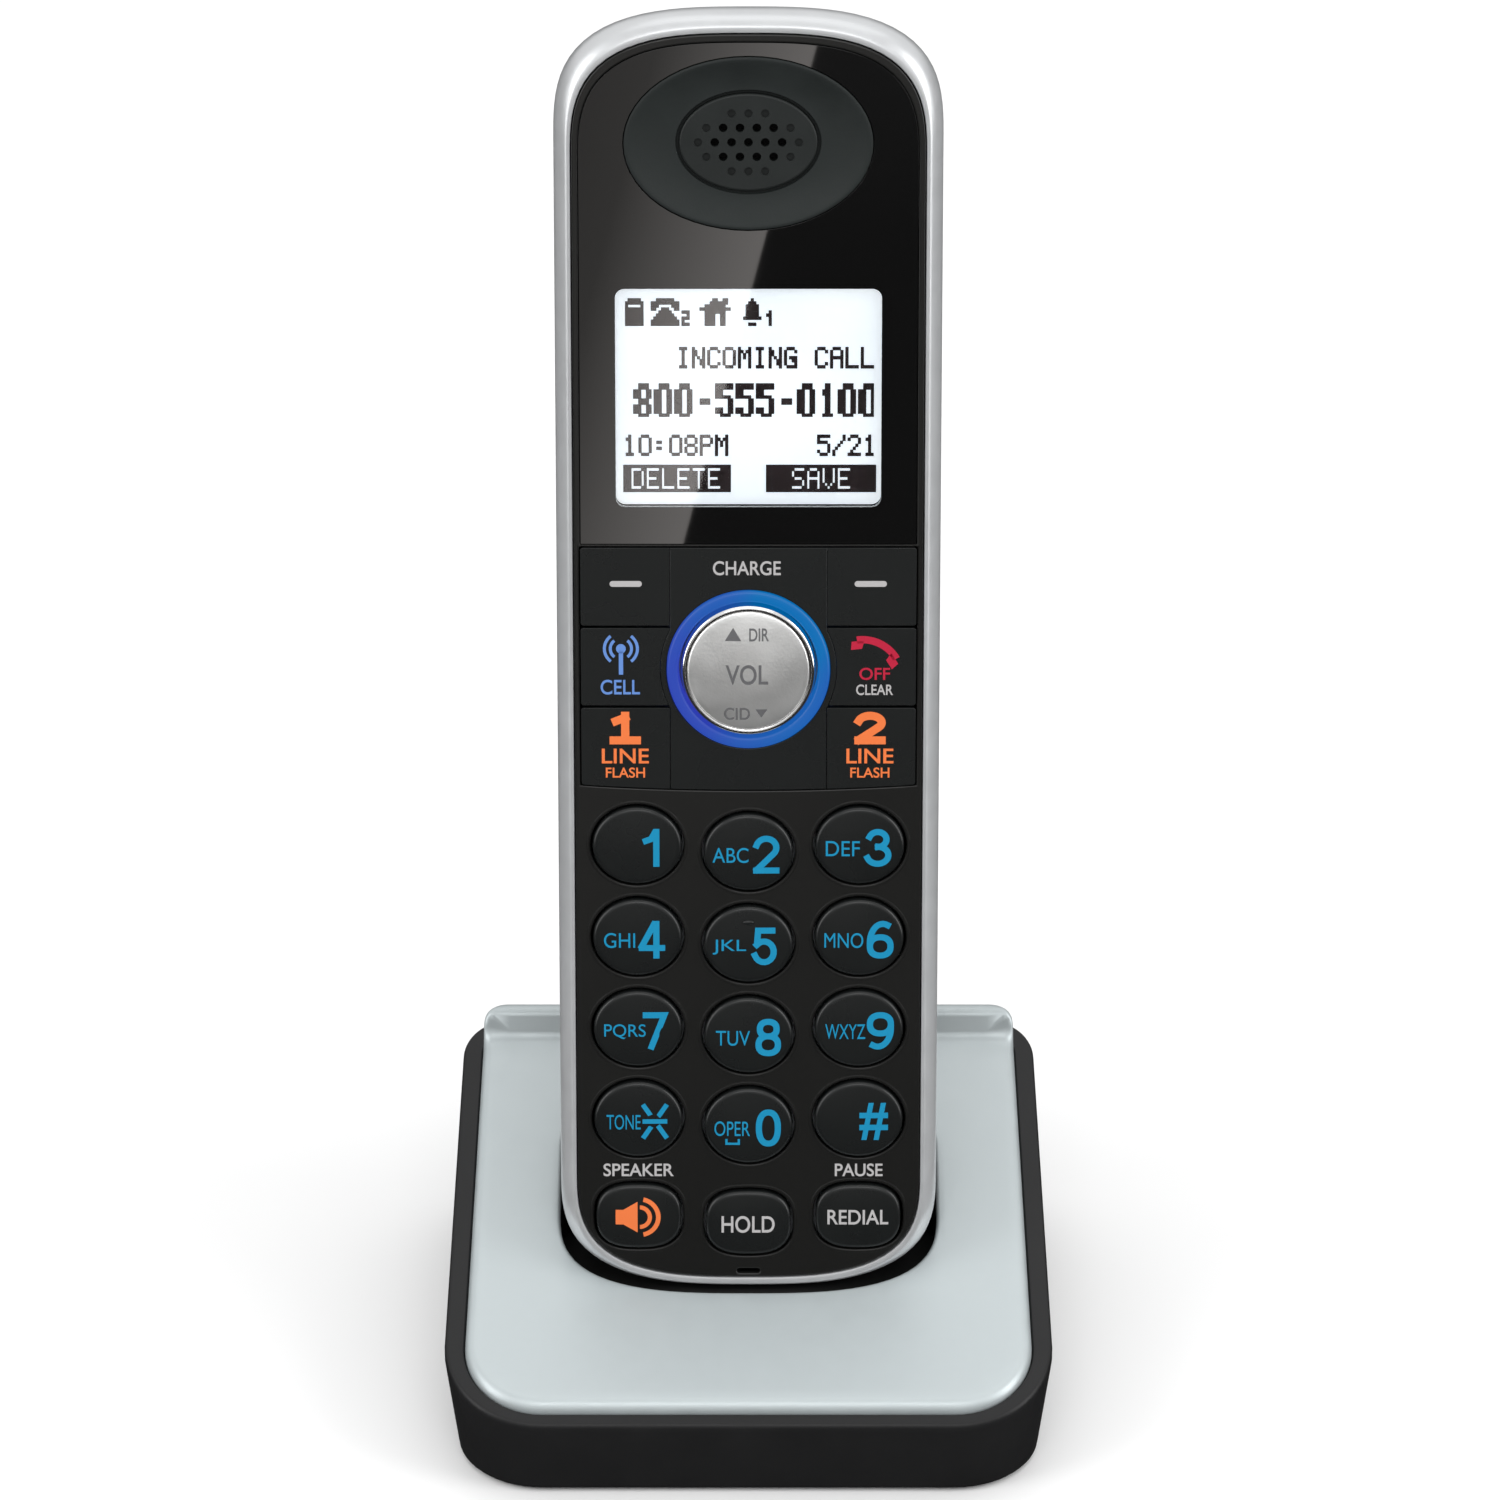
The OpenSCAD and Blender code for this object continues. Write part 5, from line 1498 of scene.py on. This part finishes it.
# %% Bay, posts and openings
DOOR_LOW_BOX, DOOR_HIGH_BOX = handset_box("battery_door")
slide = next(j for j in frame["joints"] if j["name"] == "battery_door_slide")
slide_way = leaned.inverted().to_3x3() @ Vector(slide["axis"])
DOOR_RISE = abs(slide_way.z / slide_way.y)
DOOR_A, DOOR_FLOOR, DOOR_TOP = DOOR_HIGH_BOX.x, DOOR_LOW_BOX.y, DOOR_HIGH_BOX.z
DOOR_FOOT = DOOR_LOW_BOX.z + DOOR_RISE * (HANDSET_T - DOOR_FLOOR)
screw_low, screw_high = handset_box("handset_screws")
HEAD_R, HEAD_T, SCREW_R = 2.0, 1.2, 1.0
HEAD_Y, SEAM_Y = screw_high.y - HEAD_T, 9.25
POST_R = 3.0
TOP_SPOT = (screw_high.x - HEAD_R, screw_high.z - HEAD_R)
FOOT_SPOT = (key_place("key_3")[0] / 2, screw_low.z + HEAD_R)
SPOTS = [(s * x, z) for x, z in (TOP_SPOT, FOOT_SPOT) for s in (-1, 1)]
SPEAKER_Z = sum(v.z for v in handset_box("loudspeaker")) / 2
CONTACT = handset_box("handset_contacts")
CONTACT_W = 6.0
BAY_A, BAY_Y, BAY_WALL = 12.0, 10.8, 1.3
VENT_PITCH, VENT_R = 3, 0.9


def door_prism(grow):
    """The door's space, with its foot sloped along the way it slides."""
    out = HANDSET_T - DOOR_FLOOR + 1
    floor_y = DOOR_FLOOR - (0.05 if grow else 0)
    foot, top = DOOR_FOOT - grow, DOOR_TOP + grow
    return prism("door", [(floor_y, foot), (DOOR_FLOOR + out, foot - DOOR_RISE * out),
                          (DOOR_FLOOR + out, top), (floor_y, top)], -DOOR_A - grow, DOOR_A + grow)


def back_shell():
    shell = cut(rear_form(), rear_form(SHELL_WALL))
    bay_low, bay_high = DOOR_FOOT + 2, DOOR_TOP - 2
    solid = block(-BAY_A - BAY_WALL, BAY_A + BAY_WALL, BAY_Y - BAY_WALL, HANDSET_T,
                  bay_low - BAY_WALL, bay_high + BAY_WALL)
    solid = cut(solid, block(-DOOR_A - 2, DOOR_A + 2, DOOR_FLOOR - 1.5, HANDSET_T, DOOR_FOOT - 8,
                             DOOR_TOP + 1.5), "UNION")
    for x, z in SPOTS:
        solid = cut(solid, bar(POST_R, SEAM_Y, HANDSET_T, x, z), "UNION")
    solid = cut(solid, rear_form(0.2), "INTERSECT")
    shell = cut(shell, solid, "UNION")
    shell = cut(shell, door_prism(0.15))
    shell = cut(shell, block(-BAY_A, BAY_A, BAY_Y, HANDSET_T + 1, bay_low, bay_high))
    for x, z in SPOTS:
        shell = cut(shell, bar(SCREW_R + 0.2, SEAM_Y - 1, HANDSET_T, x, z))
        shell = cut(shell, bar(HEAD_R + 0.2, HEAD_Y, HANDSET_T + 1, x, z))
    for side in (-1, 1):
        x0, x1 = sorted((side * CONTACT[1].x, side * (CONTACT[1].x - CONTACT_W)))
        shell = cut(shell, block(x0 - 0.05, x1 + 0.05, CONTACT[0].y - 0.05, CONTACT[1].y + 0.05,
                                 -3, 2))
    grid = [(VENT_PITCH * i, HANDSET_T, SPEAKER_Z + VENT_PITCH * k)
            for i in range(-2, 3) for k in range(-2, 3) if abs(i) + abs(k) < 4]
    return punched(shell, grid, VENT_R, THROUGH, FINISHES["back_black"], "back_shell")


shell = back_shell()
tidy(shell.data, 0.001)
fit(shell, HANDSET, "handset", ["rear_shell"], sharp=30, finish_name="back_black")
print("back shell:", len(shell.data.polygons), "faces, screws at",
      [(round(x, 1), round(z, 1)) for x, z in SPOTS])

# %% [markdown]
# The battery door is the same skin inside the door's opening, so its curve carries on across the
# seam. A row of ribs near its top gives the thumb something to push. Ribs repeat at one pitch, so
# Geometry Nodes set them out along a line.

# %% Battery door
def rib_tree():
    tree, entry, leave = tree_with("ribs in a row", [
        ("Ribs", "Int", 5), ("Pitch", "Float", 2.0), ("Rib length", "Float", 10.0),
        ("Rib radius", "Float", 0.5), ("Finish", "Material", None)])
    step = wire(tree, "ShaderNodeCombineXYZ")
    row = wire(tree, "GeometryNodeMeshLine", mode="OFFSET")
    rib = wire(tree, "GeometryNodeMeshCylinder", Vertices=20)
    across = wire(tree, "GeometryNodeTransform")
    across.inputs["Rotation"].default_value = (0, math.pi / 2, 0)
    start = wire(tree, "GeometryNodeInstanceOnPoints")
    each = wire(tree, "GeometryNodeInstanceOnPoints")
    whole = wire(tree, "GeometryNodeRealizeInstances")
    tree.links.new(entry.outputs["Ribs"], row.inputs["Count"])
    tree.links.new(entry.outputs["Pitch"], step.inputs[2])
    tree.links.new(step.outputs[0], row.inputs["Offset"])
    tree.links.new(entry.outputs["Rib radius"], rib.inputs["Radius"])
    tree.links.new(entry.outputs["Rib length"], rib.inputs["Depth"])
    tree.links.new(rib.outputs["Mesh"], across.inputs["Geometry"])
    tree.links.new(row.outputs[0], each.inputs["Points"])
    tree.links.new(across.outputs[0], each.inputs["Instance"])
    tree.links.new(each.outputs[0], whole.inputs[0])
    tree.links.new(entry.outputs["Geometry"], start.inputs["Points"])
    tree.links.new(whole.outputs[0], start.inputs["Instance"])
    return closing(tree, entry, leave, start.outputs[0])


RIBS, RIB_PITCH, RIB_R, RIB_L = 5, 2.0, 0.45, 13.0
GRIP_LOW, GRIP_HIGH, GRIP_D = DOOR_TOP - 15.5, DOOR_TOP - 3.5, 0.6      # the ribs' shallow recess
door = cut(rear_form(), door_prism(0.0), "INTERSECT")
door = cut(door, block(-RIB_L / 2, RIB_L / 2, HANDSET_T - GRIP_D, HANDSET_T + 1, GRIP_LOW,
                       GRIP_HIGH))
rib_start = points_at("rib_start", [(0, HANDSET_T - 0.5, GRIP_LOW + RIB_PITCH)])
ribs = grown(rib_start, rib_tree(), "ribs", ribs=RIBS, pitch=RIB_PITCH, rib_length=RIB_L,
             rib_radius=RIB_R, finish=FINISHES["back_black"])
door = joined("door_panel", [painted(door, "back_black"), ribs])
fit(door, HANDSET, "battery_door", ["battery_door"], sharp=30)
print("door", round(2 * DOOR_A, 1), "mm wide, slides at a slope of", round(DOOR_RISE, 2))

# %% [markdown]
# ## Screws
# Four screws hold the two halves of the handset, and four hold the cradle together. One screw is
# turned from its section and gets a cross recess. Geometry Nodes then copy it to the handset's
# four places; the cradle's screws keep their solids and get their finish further on.

# %% Screws
def copy_tree():
    tree, entry, leave = tree_with("copies on points", [
        ("Shape", "Object", None), ("Finish", "Material", None)])
    shape = wire(tree, "GeometryNodeObjectInfo")
    each = wire(tree, "GeometryNodeInstanceOnPoints")
    tree.links.new(entry.outputs["Shape"], shape.inputs["Object"])
    tree.links.new(shape.outputs["Geometry"], each.inputs["Instance"])
    tree.links.new(entry.outputs["Geometry"], each.inputs["Points"])
    return closing(tree, entry, leave, each.outputs[0])


COPIES = copy_tree()


def copies(shape, places, coat, name):
    """One shape at every place, as one piece."""
    made = grown(points_at(name, places), COPIES, name, shape=shape, finish=coat)
    bpy.data.objects.remove(shape)
    return made


def screw(shaft, head_t, shaft_r, head_r):
    """A pan-head screw along the depth: shaft first, head at the back, cross recess."""
    section = [(shaft_r * 0.4, -shaft), (shaft_r, -shaft + 0.8), (shaft_r, 0), (head_r - 0.1, 0),
               (head_r, 0.1), (head_r, head_t * 0.45), (head_r - 0.25, head_t * 0.8),
               (head_r - 0.8, head_t), (0.2, head_t)]
    made = turned_piece("screw", section, 0, 0, 40)
    for w, h in ((head_r * 0.62, 0.24), (0.24, head_r * 0.62)):
        made = cut(made, block(-w, w, head_t - 0.6, head_t + 1, -h, h))
    return made


one_screw = screw(HEAD_Y - screw_low.y, HEAD_T, SCREW_R, HEAD_R)
screws = copies(one_screw, [(x, HEAD_Y, z) for x, z in SPOTS], FINISHES["screw_steel"],
                "shell_screws")
fit(screws, HANDSET, "handset", ["handset_screws"], sharp=30)
print("screws:", len(SPOTS))

# %% [markdown]
# ## The cradle
# The cradle has its own axes: millimetres again, x across, y back from the line of the
# handset's foot, z up from the table. Its outline has large round corners in front and small
# ones behind. The black base is one loft that goes up the outside wall, over the rim and down
# the inside to the floor.

# %% Cradle axes and outline
seat = HANDSET.translation
CRADLE = Matrix.Translation((0, seat.y, 0)) @ Matrix.Scale(MM, 4)


def cradle_box(node):
    return box_in(CRADLE, node)


SLOPE = math.tan(math.radians(16.5))      # of the silver top
BASE_LOW, BASE_HIGH = cradle_box("cradle_base")
BACK_DRAFT, WALL_DRAFT, BACK_TAPER = 3.0, 1.6, 1.1      # walls narrow upwards and backwards
FRONT_Y, BACK_Y, CRADLE_A = BASE_LOW.y, BASE_HIGH.y - BACK_DRAFT, BASE_HIGH.x
CORNER_R, BACK_R = 12.8, 6.0
RIM_W, RIM_FRONT, BELT = 2.7, 2.0, 1.2
COVER_PROUD, COVER_T, LIP_RISE = 1.2, 1.8, 3.6
LIP_Y = BACK_Y - 4.6
PLATE_Z0 = seat.z / MM - 0.15      # height of the silver top at y = 0
TUB_Z = BASE_LOW.z + 3.2


def plate_z(y):
    return PLATE_Z0 + SLOPE * y


def rim_z(y):
    return plate_z(y) - COVER_PROUD


def plan(inset, front, back, n=14):
    """The cradle's outline seen from above."""
    a, b = CRADLE_A - inset, CRADLE_A - BACK_TAPER - inset
    rf, rb = CORNER_R - inset, max(BACK_R - inset, 1.5)
    corners = [(b - rb, back - rb, rb, 0), (rb - b, back - rb, rb, 1), (rf - a, front + rf, rf, 2),
               (a - rf, front + rf, rf, 3)]
    return [p for x, y, r, k in corners for p in quarter_circle(x, y, r, k, n)]


def plan_ring(inset, drop, front=None, back=None):
    """A ring that follows the sloping rim, lowered by drop."""
    outline = plan(inset, FRONT_Y + (inset if front is None else front),
                   BACK_Y - (inset if back is None else back))
    return [(x, y, rim_z(y) - drop) for x, y in outline]


def level_ring(inset, z, front, back):
    """A ring at one height."""
    return [(x, y, z) for x, y in plan(inset, FRONT_Y + front, BACK_Y + BACK_DRAFT - back)]


# %% Cradle base
def cradle_tub():
    d, low = WALL_DRAFT, BASE_LOW.z
    inner, inner_front = RIM_W - 0.1, RIM_FRONT - 0.1
    rings = [level_ring(d + 1.2, low, d / 2 + 1.0, 1.0),
             level_ring(d + 0.35, low + 0.1, d / 2 + 0.35, 0.35),
             level_ring(d + 0.08, low + 0.4, d / 2 + 0.08, 0.08),
             level_ring(d, low + 0.9, d / 2, 0)]
    rings += [plan_ring(0, BELT), plan_ring(0, 0.7), plan_ring(0.04, 0.42), plan_ring(0.15, 0.2),
              plan_ring(0.32, 0.06), plan_ring(0.55, 0.0)]
    rings += [plan_ring(inner - 0.2, 0, RIM_FRONT - 0.3, inner - 0.2),
              plan_ring(inner, 0.2, inner_front, inner), plan_ring(inner, BELT, inner_front, inner),
              level_ring(inner + d, TUB_Z, inner_front + d / 2, inner)]
    return loft("cradle_tub", rings)


FEET_LOW, FEET_HIGH = cradle_box("rubber_feet")
FOOT_R = 4.5
FRONT_FOOT = (FEET_HIGH.x - FOOT_R - 1.0, FEET_LOW.y + FOOT_R)
BACK_FOOT = (FEET_HIGH.x - FOOT_R, FEET_HIGH.y - FOOT_R)
FEET = [(s * x, y) for x, y in (FRONT_FOOT, BACK_FOOT) for s in (-1, 1)]
JACK_LOW, JACK_HIGH = cradle_box("dc_jack")
JACK_HOLE_R = 4.5
JACK_Z = (JACK_LOW.z + JACK_HIGH.z) / 2


def upright(section, x, y, n=48):
    """A turned solid from (radius, height) pairs, about a line straight up."""
    return loft("upright", [[(x + u, y + v, z) for u, v in circle(r, 0, 0, n)] for r, z in section])


def cradle_base():
    base = cradle_tub()
    base = cut(base, bar(JACK_HOLE_R, JACK_HIGH.y, BACK_Y + 8, 0, JACK_Z, 64))
    for x, y in FEET:
        base = cut(base, upright([(FOOT_R + 0.05, -1), (FOOT_R + 0.05, FEET_HIGH.z)], x, y))
    return base


base = cradle_base()
fit(base, CRADLE, "cradle", ["cradle_base"], sharp=30, finish_name="cradle_black")
print("cradle base:", len(base.data.polygons), "faces, feet at",
      [(round(x, 1), round(y, 1)) for x, y in FEET])

# %% [markdown]
# ## The silver top
# The silver top is a sloping plate with rounded edges, an opening for the handset, and a lip
# that turns up behind it. Its height is a rule: the slope, plus the lip's profile towards the
# back, minus a rounding near the edge. So the plate is a net of points in plan, lifted to the
# height that the rule gives, and closed below by a copy of the same net.

# %% Height of the silver top
COVER_BACK = cradle_box("cradle_cover")[1].y
EDGE_R, POCKET_EDGE_R = 1.3, 0.5


def arc_points(cx, cz, r, start, stop, n):
    """An arc between two angles in degrees."""
    return [(cx + r * math.cos(math.radians(start + (stop - start) * i / n)),
             cz + r * math.sin(math.radians(start + (stop - start) * i / n))) for i in range(n + 1)]


LIP_TOP = plate_z(LIP_Y) + LIP_RISE
lip_profile = ([(LIP_Y - 2.4, plate_z(LIP_Y - 2.4))]
               + arc_points(LIP_Y - 1.4, plate_z(LIP_Y - 1.4) + 2.2, 2.2, 286, 335, 7)
               + arc_points(LIP_Y + 2.4, LIP_TOP - 1.4, 1.4, 155, 90, 7)
               + [(COVER_BACK + 1, LIP_TOP)])


def top_height(y):
    if y <= lip_profile[0][0]:
        return plate_z(y)
    return float(np.interp(y, [p[0] for p in lip_profile], [p[1] for p in lip_profile]))


TINY = 1e-12        # keeps a division from a length of nothing


def distance(points, outline):
    """Distance from each point to a closed outline, in plan."""
    p, a = np.array(points)[:, None, :], np.array(outline)[None, :, :]
    b = np.roll(a, -1, axis=1)
    way = b - a
    t = np.clip(((p - a) * way).sum(2) / np.maximum((way ** 2).sum(2), TINY), 0, 1)
    return np.linalg.norm(p - a - t[..., None] * way, axis=2).min(1)


def inside(points, outline):
    """Which points lie inside a closed outline: a line from them crosses it an odd number."""
    p, a = np.array(points)[:, None, :], np.array(outline)[None, :, :]
    b = np.roll(a, -1, axis=1)
    crosses = (a[..., 1] > p[..., 1]) != (b[..., 1] > p[..., 1])
    rise = b[..., 1] - a[..., 1]
    rise = np.where(np.abs(rise) < TINY, TINY, rise)
    x = a[..., 0] + (p[..., 1] - a[..., 1]) * (b[..., 0] - a[..., 0]) / rise
    return (crosses & (p[..., 0] < x)).sum(1) % 2 == 1


def rounding(gap, r):
    """How far a rounded edge has fallen at a distance from the edge."""
    gap = np.clip(gap, 0, r)
    return r - np.sqrt(r * r - (r - gap) ** 2)


# %% Silver top's net
def pocket_outline(grow):
    """The opening where the leaning handset passes through the sloping plate."""
    c, s = math.cos(LEAN), math.sin(LEAN)
    outline = []
    section = round_ended(BAND_A + 0.3 + grow, -0.9 - grow, HANDSET_T + 0.4 + grow, 12.0, 7.0)
    for x, deep in section:
        up = (PLATE_Z0 + SLOPE * deep * c - seat.z / MM + deep * s) / (c - SLOPE * s)
        outline.append((x, deep * c + up * s))
    return outline


def dense(outline, step=1.0):
    """The same closed outline with points along its straight sides too."""
    points = []
    for a, b in zip(outline, outline[1:] + outline[:1]):
        n = max(1, int(math.dist(a, b) / step))
        points += [(a[0] + (b[0] - a[0]) * i / n, a[1] + (b[1] - a[1]) * i / n) for i in range(n)]
    return points


NET_X, NET_Y = 2.0, 2.2      # pitch of the net's points across and along the slope
NET_A = 36.0                 # half width of the net


def silver_top():
    edge = [dense(plan(RIM_W + d, FRONT_Y + RIM_FRONT + d, COVER_BACK - d)) for d in
            (0, 0.05, 0.17, 0.36, 0.6, 0.9, EDGE_R)]
    hole = [dense(pocket_outline(d)) for d in (0, 0.05, 0.15, 0.3, POCKET_EDGE_R)]
    rows = list(np.arange(FRONT_Y + RIM_FRONT + 2.5, LIP_Y - 3, NET_Y))
    rows += [p[0] for p in lip_profile[:-1]] + [COVER_BACK - 1.6]
    net = [(x, y) for y in rows for x in np.arange(-NET_A, NET_A + 0.1, NET_X)]
    keep = (inside(net, edge[-1]) & ~inside(net, hole[-1]) & (distance(net, edge[-1]) > 0.4)
            & (distance(net, hole[-1]) > 0.3))
    net = [p for p, k in zip(net, keep) if k]
    points, bounds = list(net), []
    for ring_points in edge + hole:
        first, n = len(points), len(ring_points)
        points += ring_points
        bounds += [(first + i, first + (i + 1) % n) for i in range(n)]
    made = delaunay_2d_cdt([Vector(p) for p in points], bounds, [], 0, 1e-5)
    flat, faces = [(v.x, v.y) for v in made[0]], made[2]
    middles = [tuple(np.mean([flat[i] for i in f], axis=0)) for f in faces]
    kept = inside(middles, edge[0]) & ~inside(middles, hole[0])
    faces = [f for f, k in zip(faces, kept) if k]
    to_hole = distance(flat, hole[0])
    high = (np.array([top_height(y) for _, y in flat]) - rounding(distance(flat, edge[0]), EDGE_R)
            - rounding(to_hole, POCKET_EDGE_R))
    n = len(flat)
    under = [(x, y - (math.tan(LEAN) * COVER_T if gap < 0.01 else 0.0),
              rim_z(y) + 0.06 if y > BACK_Y - RIM_W - 0.3 else plate_z(y) - COVER_T)
             for (x, y), gap in zip(flat, to_hole)]
    solid = [(x, y, z) for (x, y), z in zip(flat, high)] + under
    sides = {(f[i], f[(i + 1) % 3]): None for f in faces for i in range(3)}
    walls = [(b, a, a + n, b + n) for a, b in sides if (b, a) not in sides]
    lower = [tuple(i + n for i in reversed(f)) for f in faces]
    mesh = bpy.data.meshes.new("silver_top")
    mesh.from_pydata(solid, [], [tuple(f) for f in faces] + lower + walls)
    tidy(mesh, 0.0005)
    return link("silver_top", mesh)


top = silver_top()
fit(top, CRADLE, "cradle", ["cradle_cover"], sharp=40, finish_name="cradle_silver")
print("silver top:", len(top.data.polygons), "faces")

# %% [markdown]
# ## Feet and the small parts inside
# Four rubber feet stand in recesses under the cradle, and a screw sits above each. The parts
# that only show when the handset is lifted or its door is open keep the shape of their solids
# and get their finishes here.

# %% Feet and cradle screws
foot = upright([(FOOT_R - 0.5, 0), (FOOT_R - 0.12, 0.12), (FOOT_R, 0.4),
                (FOOT_R, FEET_HIGH.z - 0.03)], 0, 0)
feet = copies(foot, [(x, y, 0) for x, y in FEET], FINISHES["foot_rubber"], "rubber_pads")
fit(feet, CRADLE, "cradle", ["rubber_feet"], sharp=40)

INNER_FINISHES = {
    "lcd_holder": "white_plastic", "earpiece_receiver": "liner_black",
    "loudspeaker": "speaker_steel", "microphone": "speaker_steel", "main_board": "board_green",
    "keypad_mat": "silicone", "battery_pack": "battery_sleeve", "battery_plug": "white_plastic",
    "handset_contacts": "contact_plate", "pocket_liner": "liner_black",
    "contact_pin_left": "contact_plate", "contact_pin_right": "contact_plate",
    "charge_board": "board_green", "dc_jack": "back_black", "cradle_screws": "screw_steel"}
for node, coat in INNER_FINISHES.items():
    painted(NODES[node], coat)
left_over = [n for n, o in NODES.items() if not o.hide_render and n not in INNER_FINISHES]
print("inner parts:", len(INNER_FINISHES), "without a finish:", left_over)

# %% [markdown]
# ## The floor
# The floor is one large pale sheet at the height of the rubber feet. It is kept out of mirrored
# reflections, so the black front of the handset stays as dark as the lower part of the dome.

# %% Floor
FLOOR_SIZE = 6.0
floor_mesh = bpy.data.meshes.new("floor")
half = FLOOR_SIZE / 2
floor_mesh.from_pydata([(-half, -half, 0), (half, -half, 0), (half, half, 0), (-half, half, 0)], [],
                       [(0, 1, 2, 3)])
floor = painted(link("floor", floor_mesh), "floor_pale")
floor.visible_glossy = False
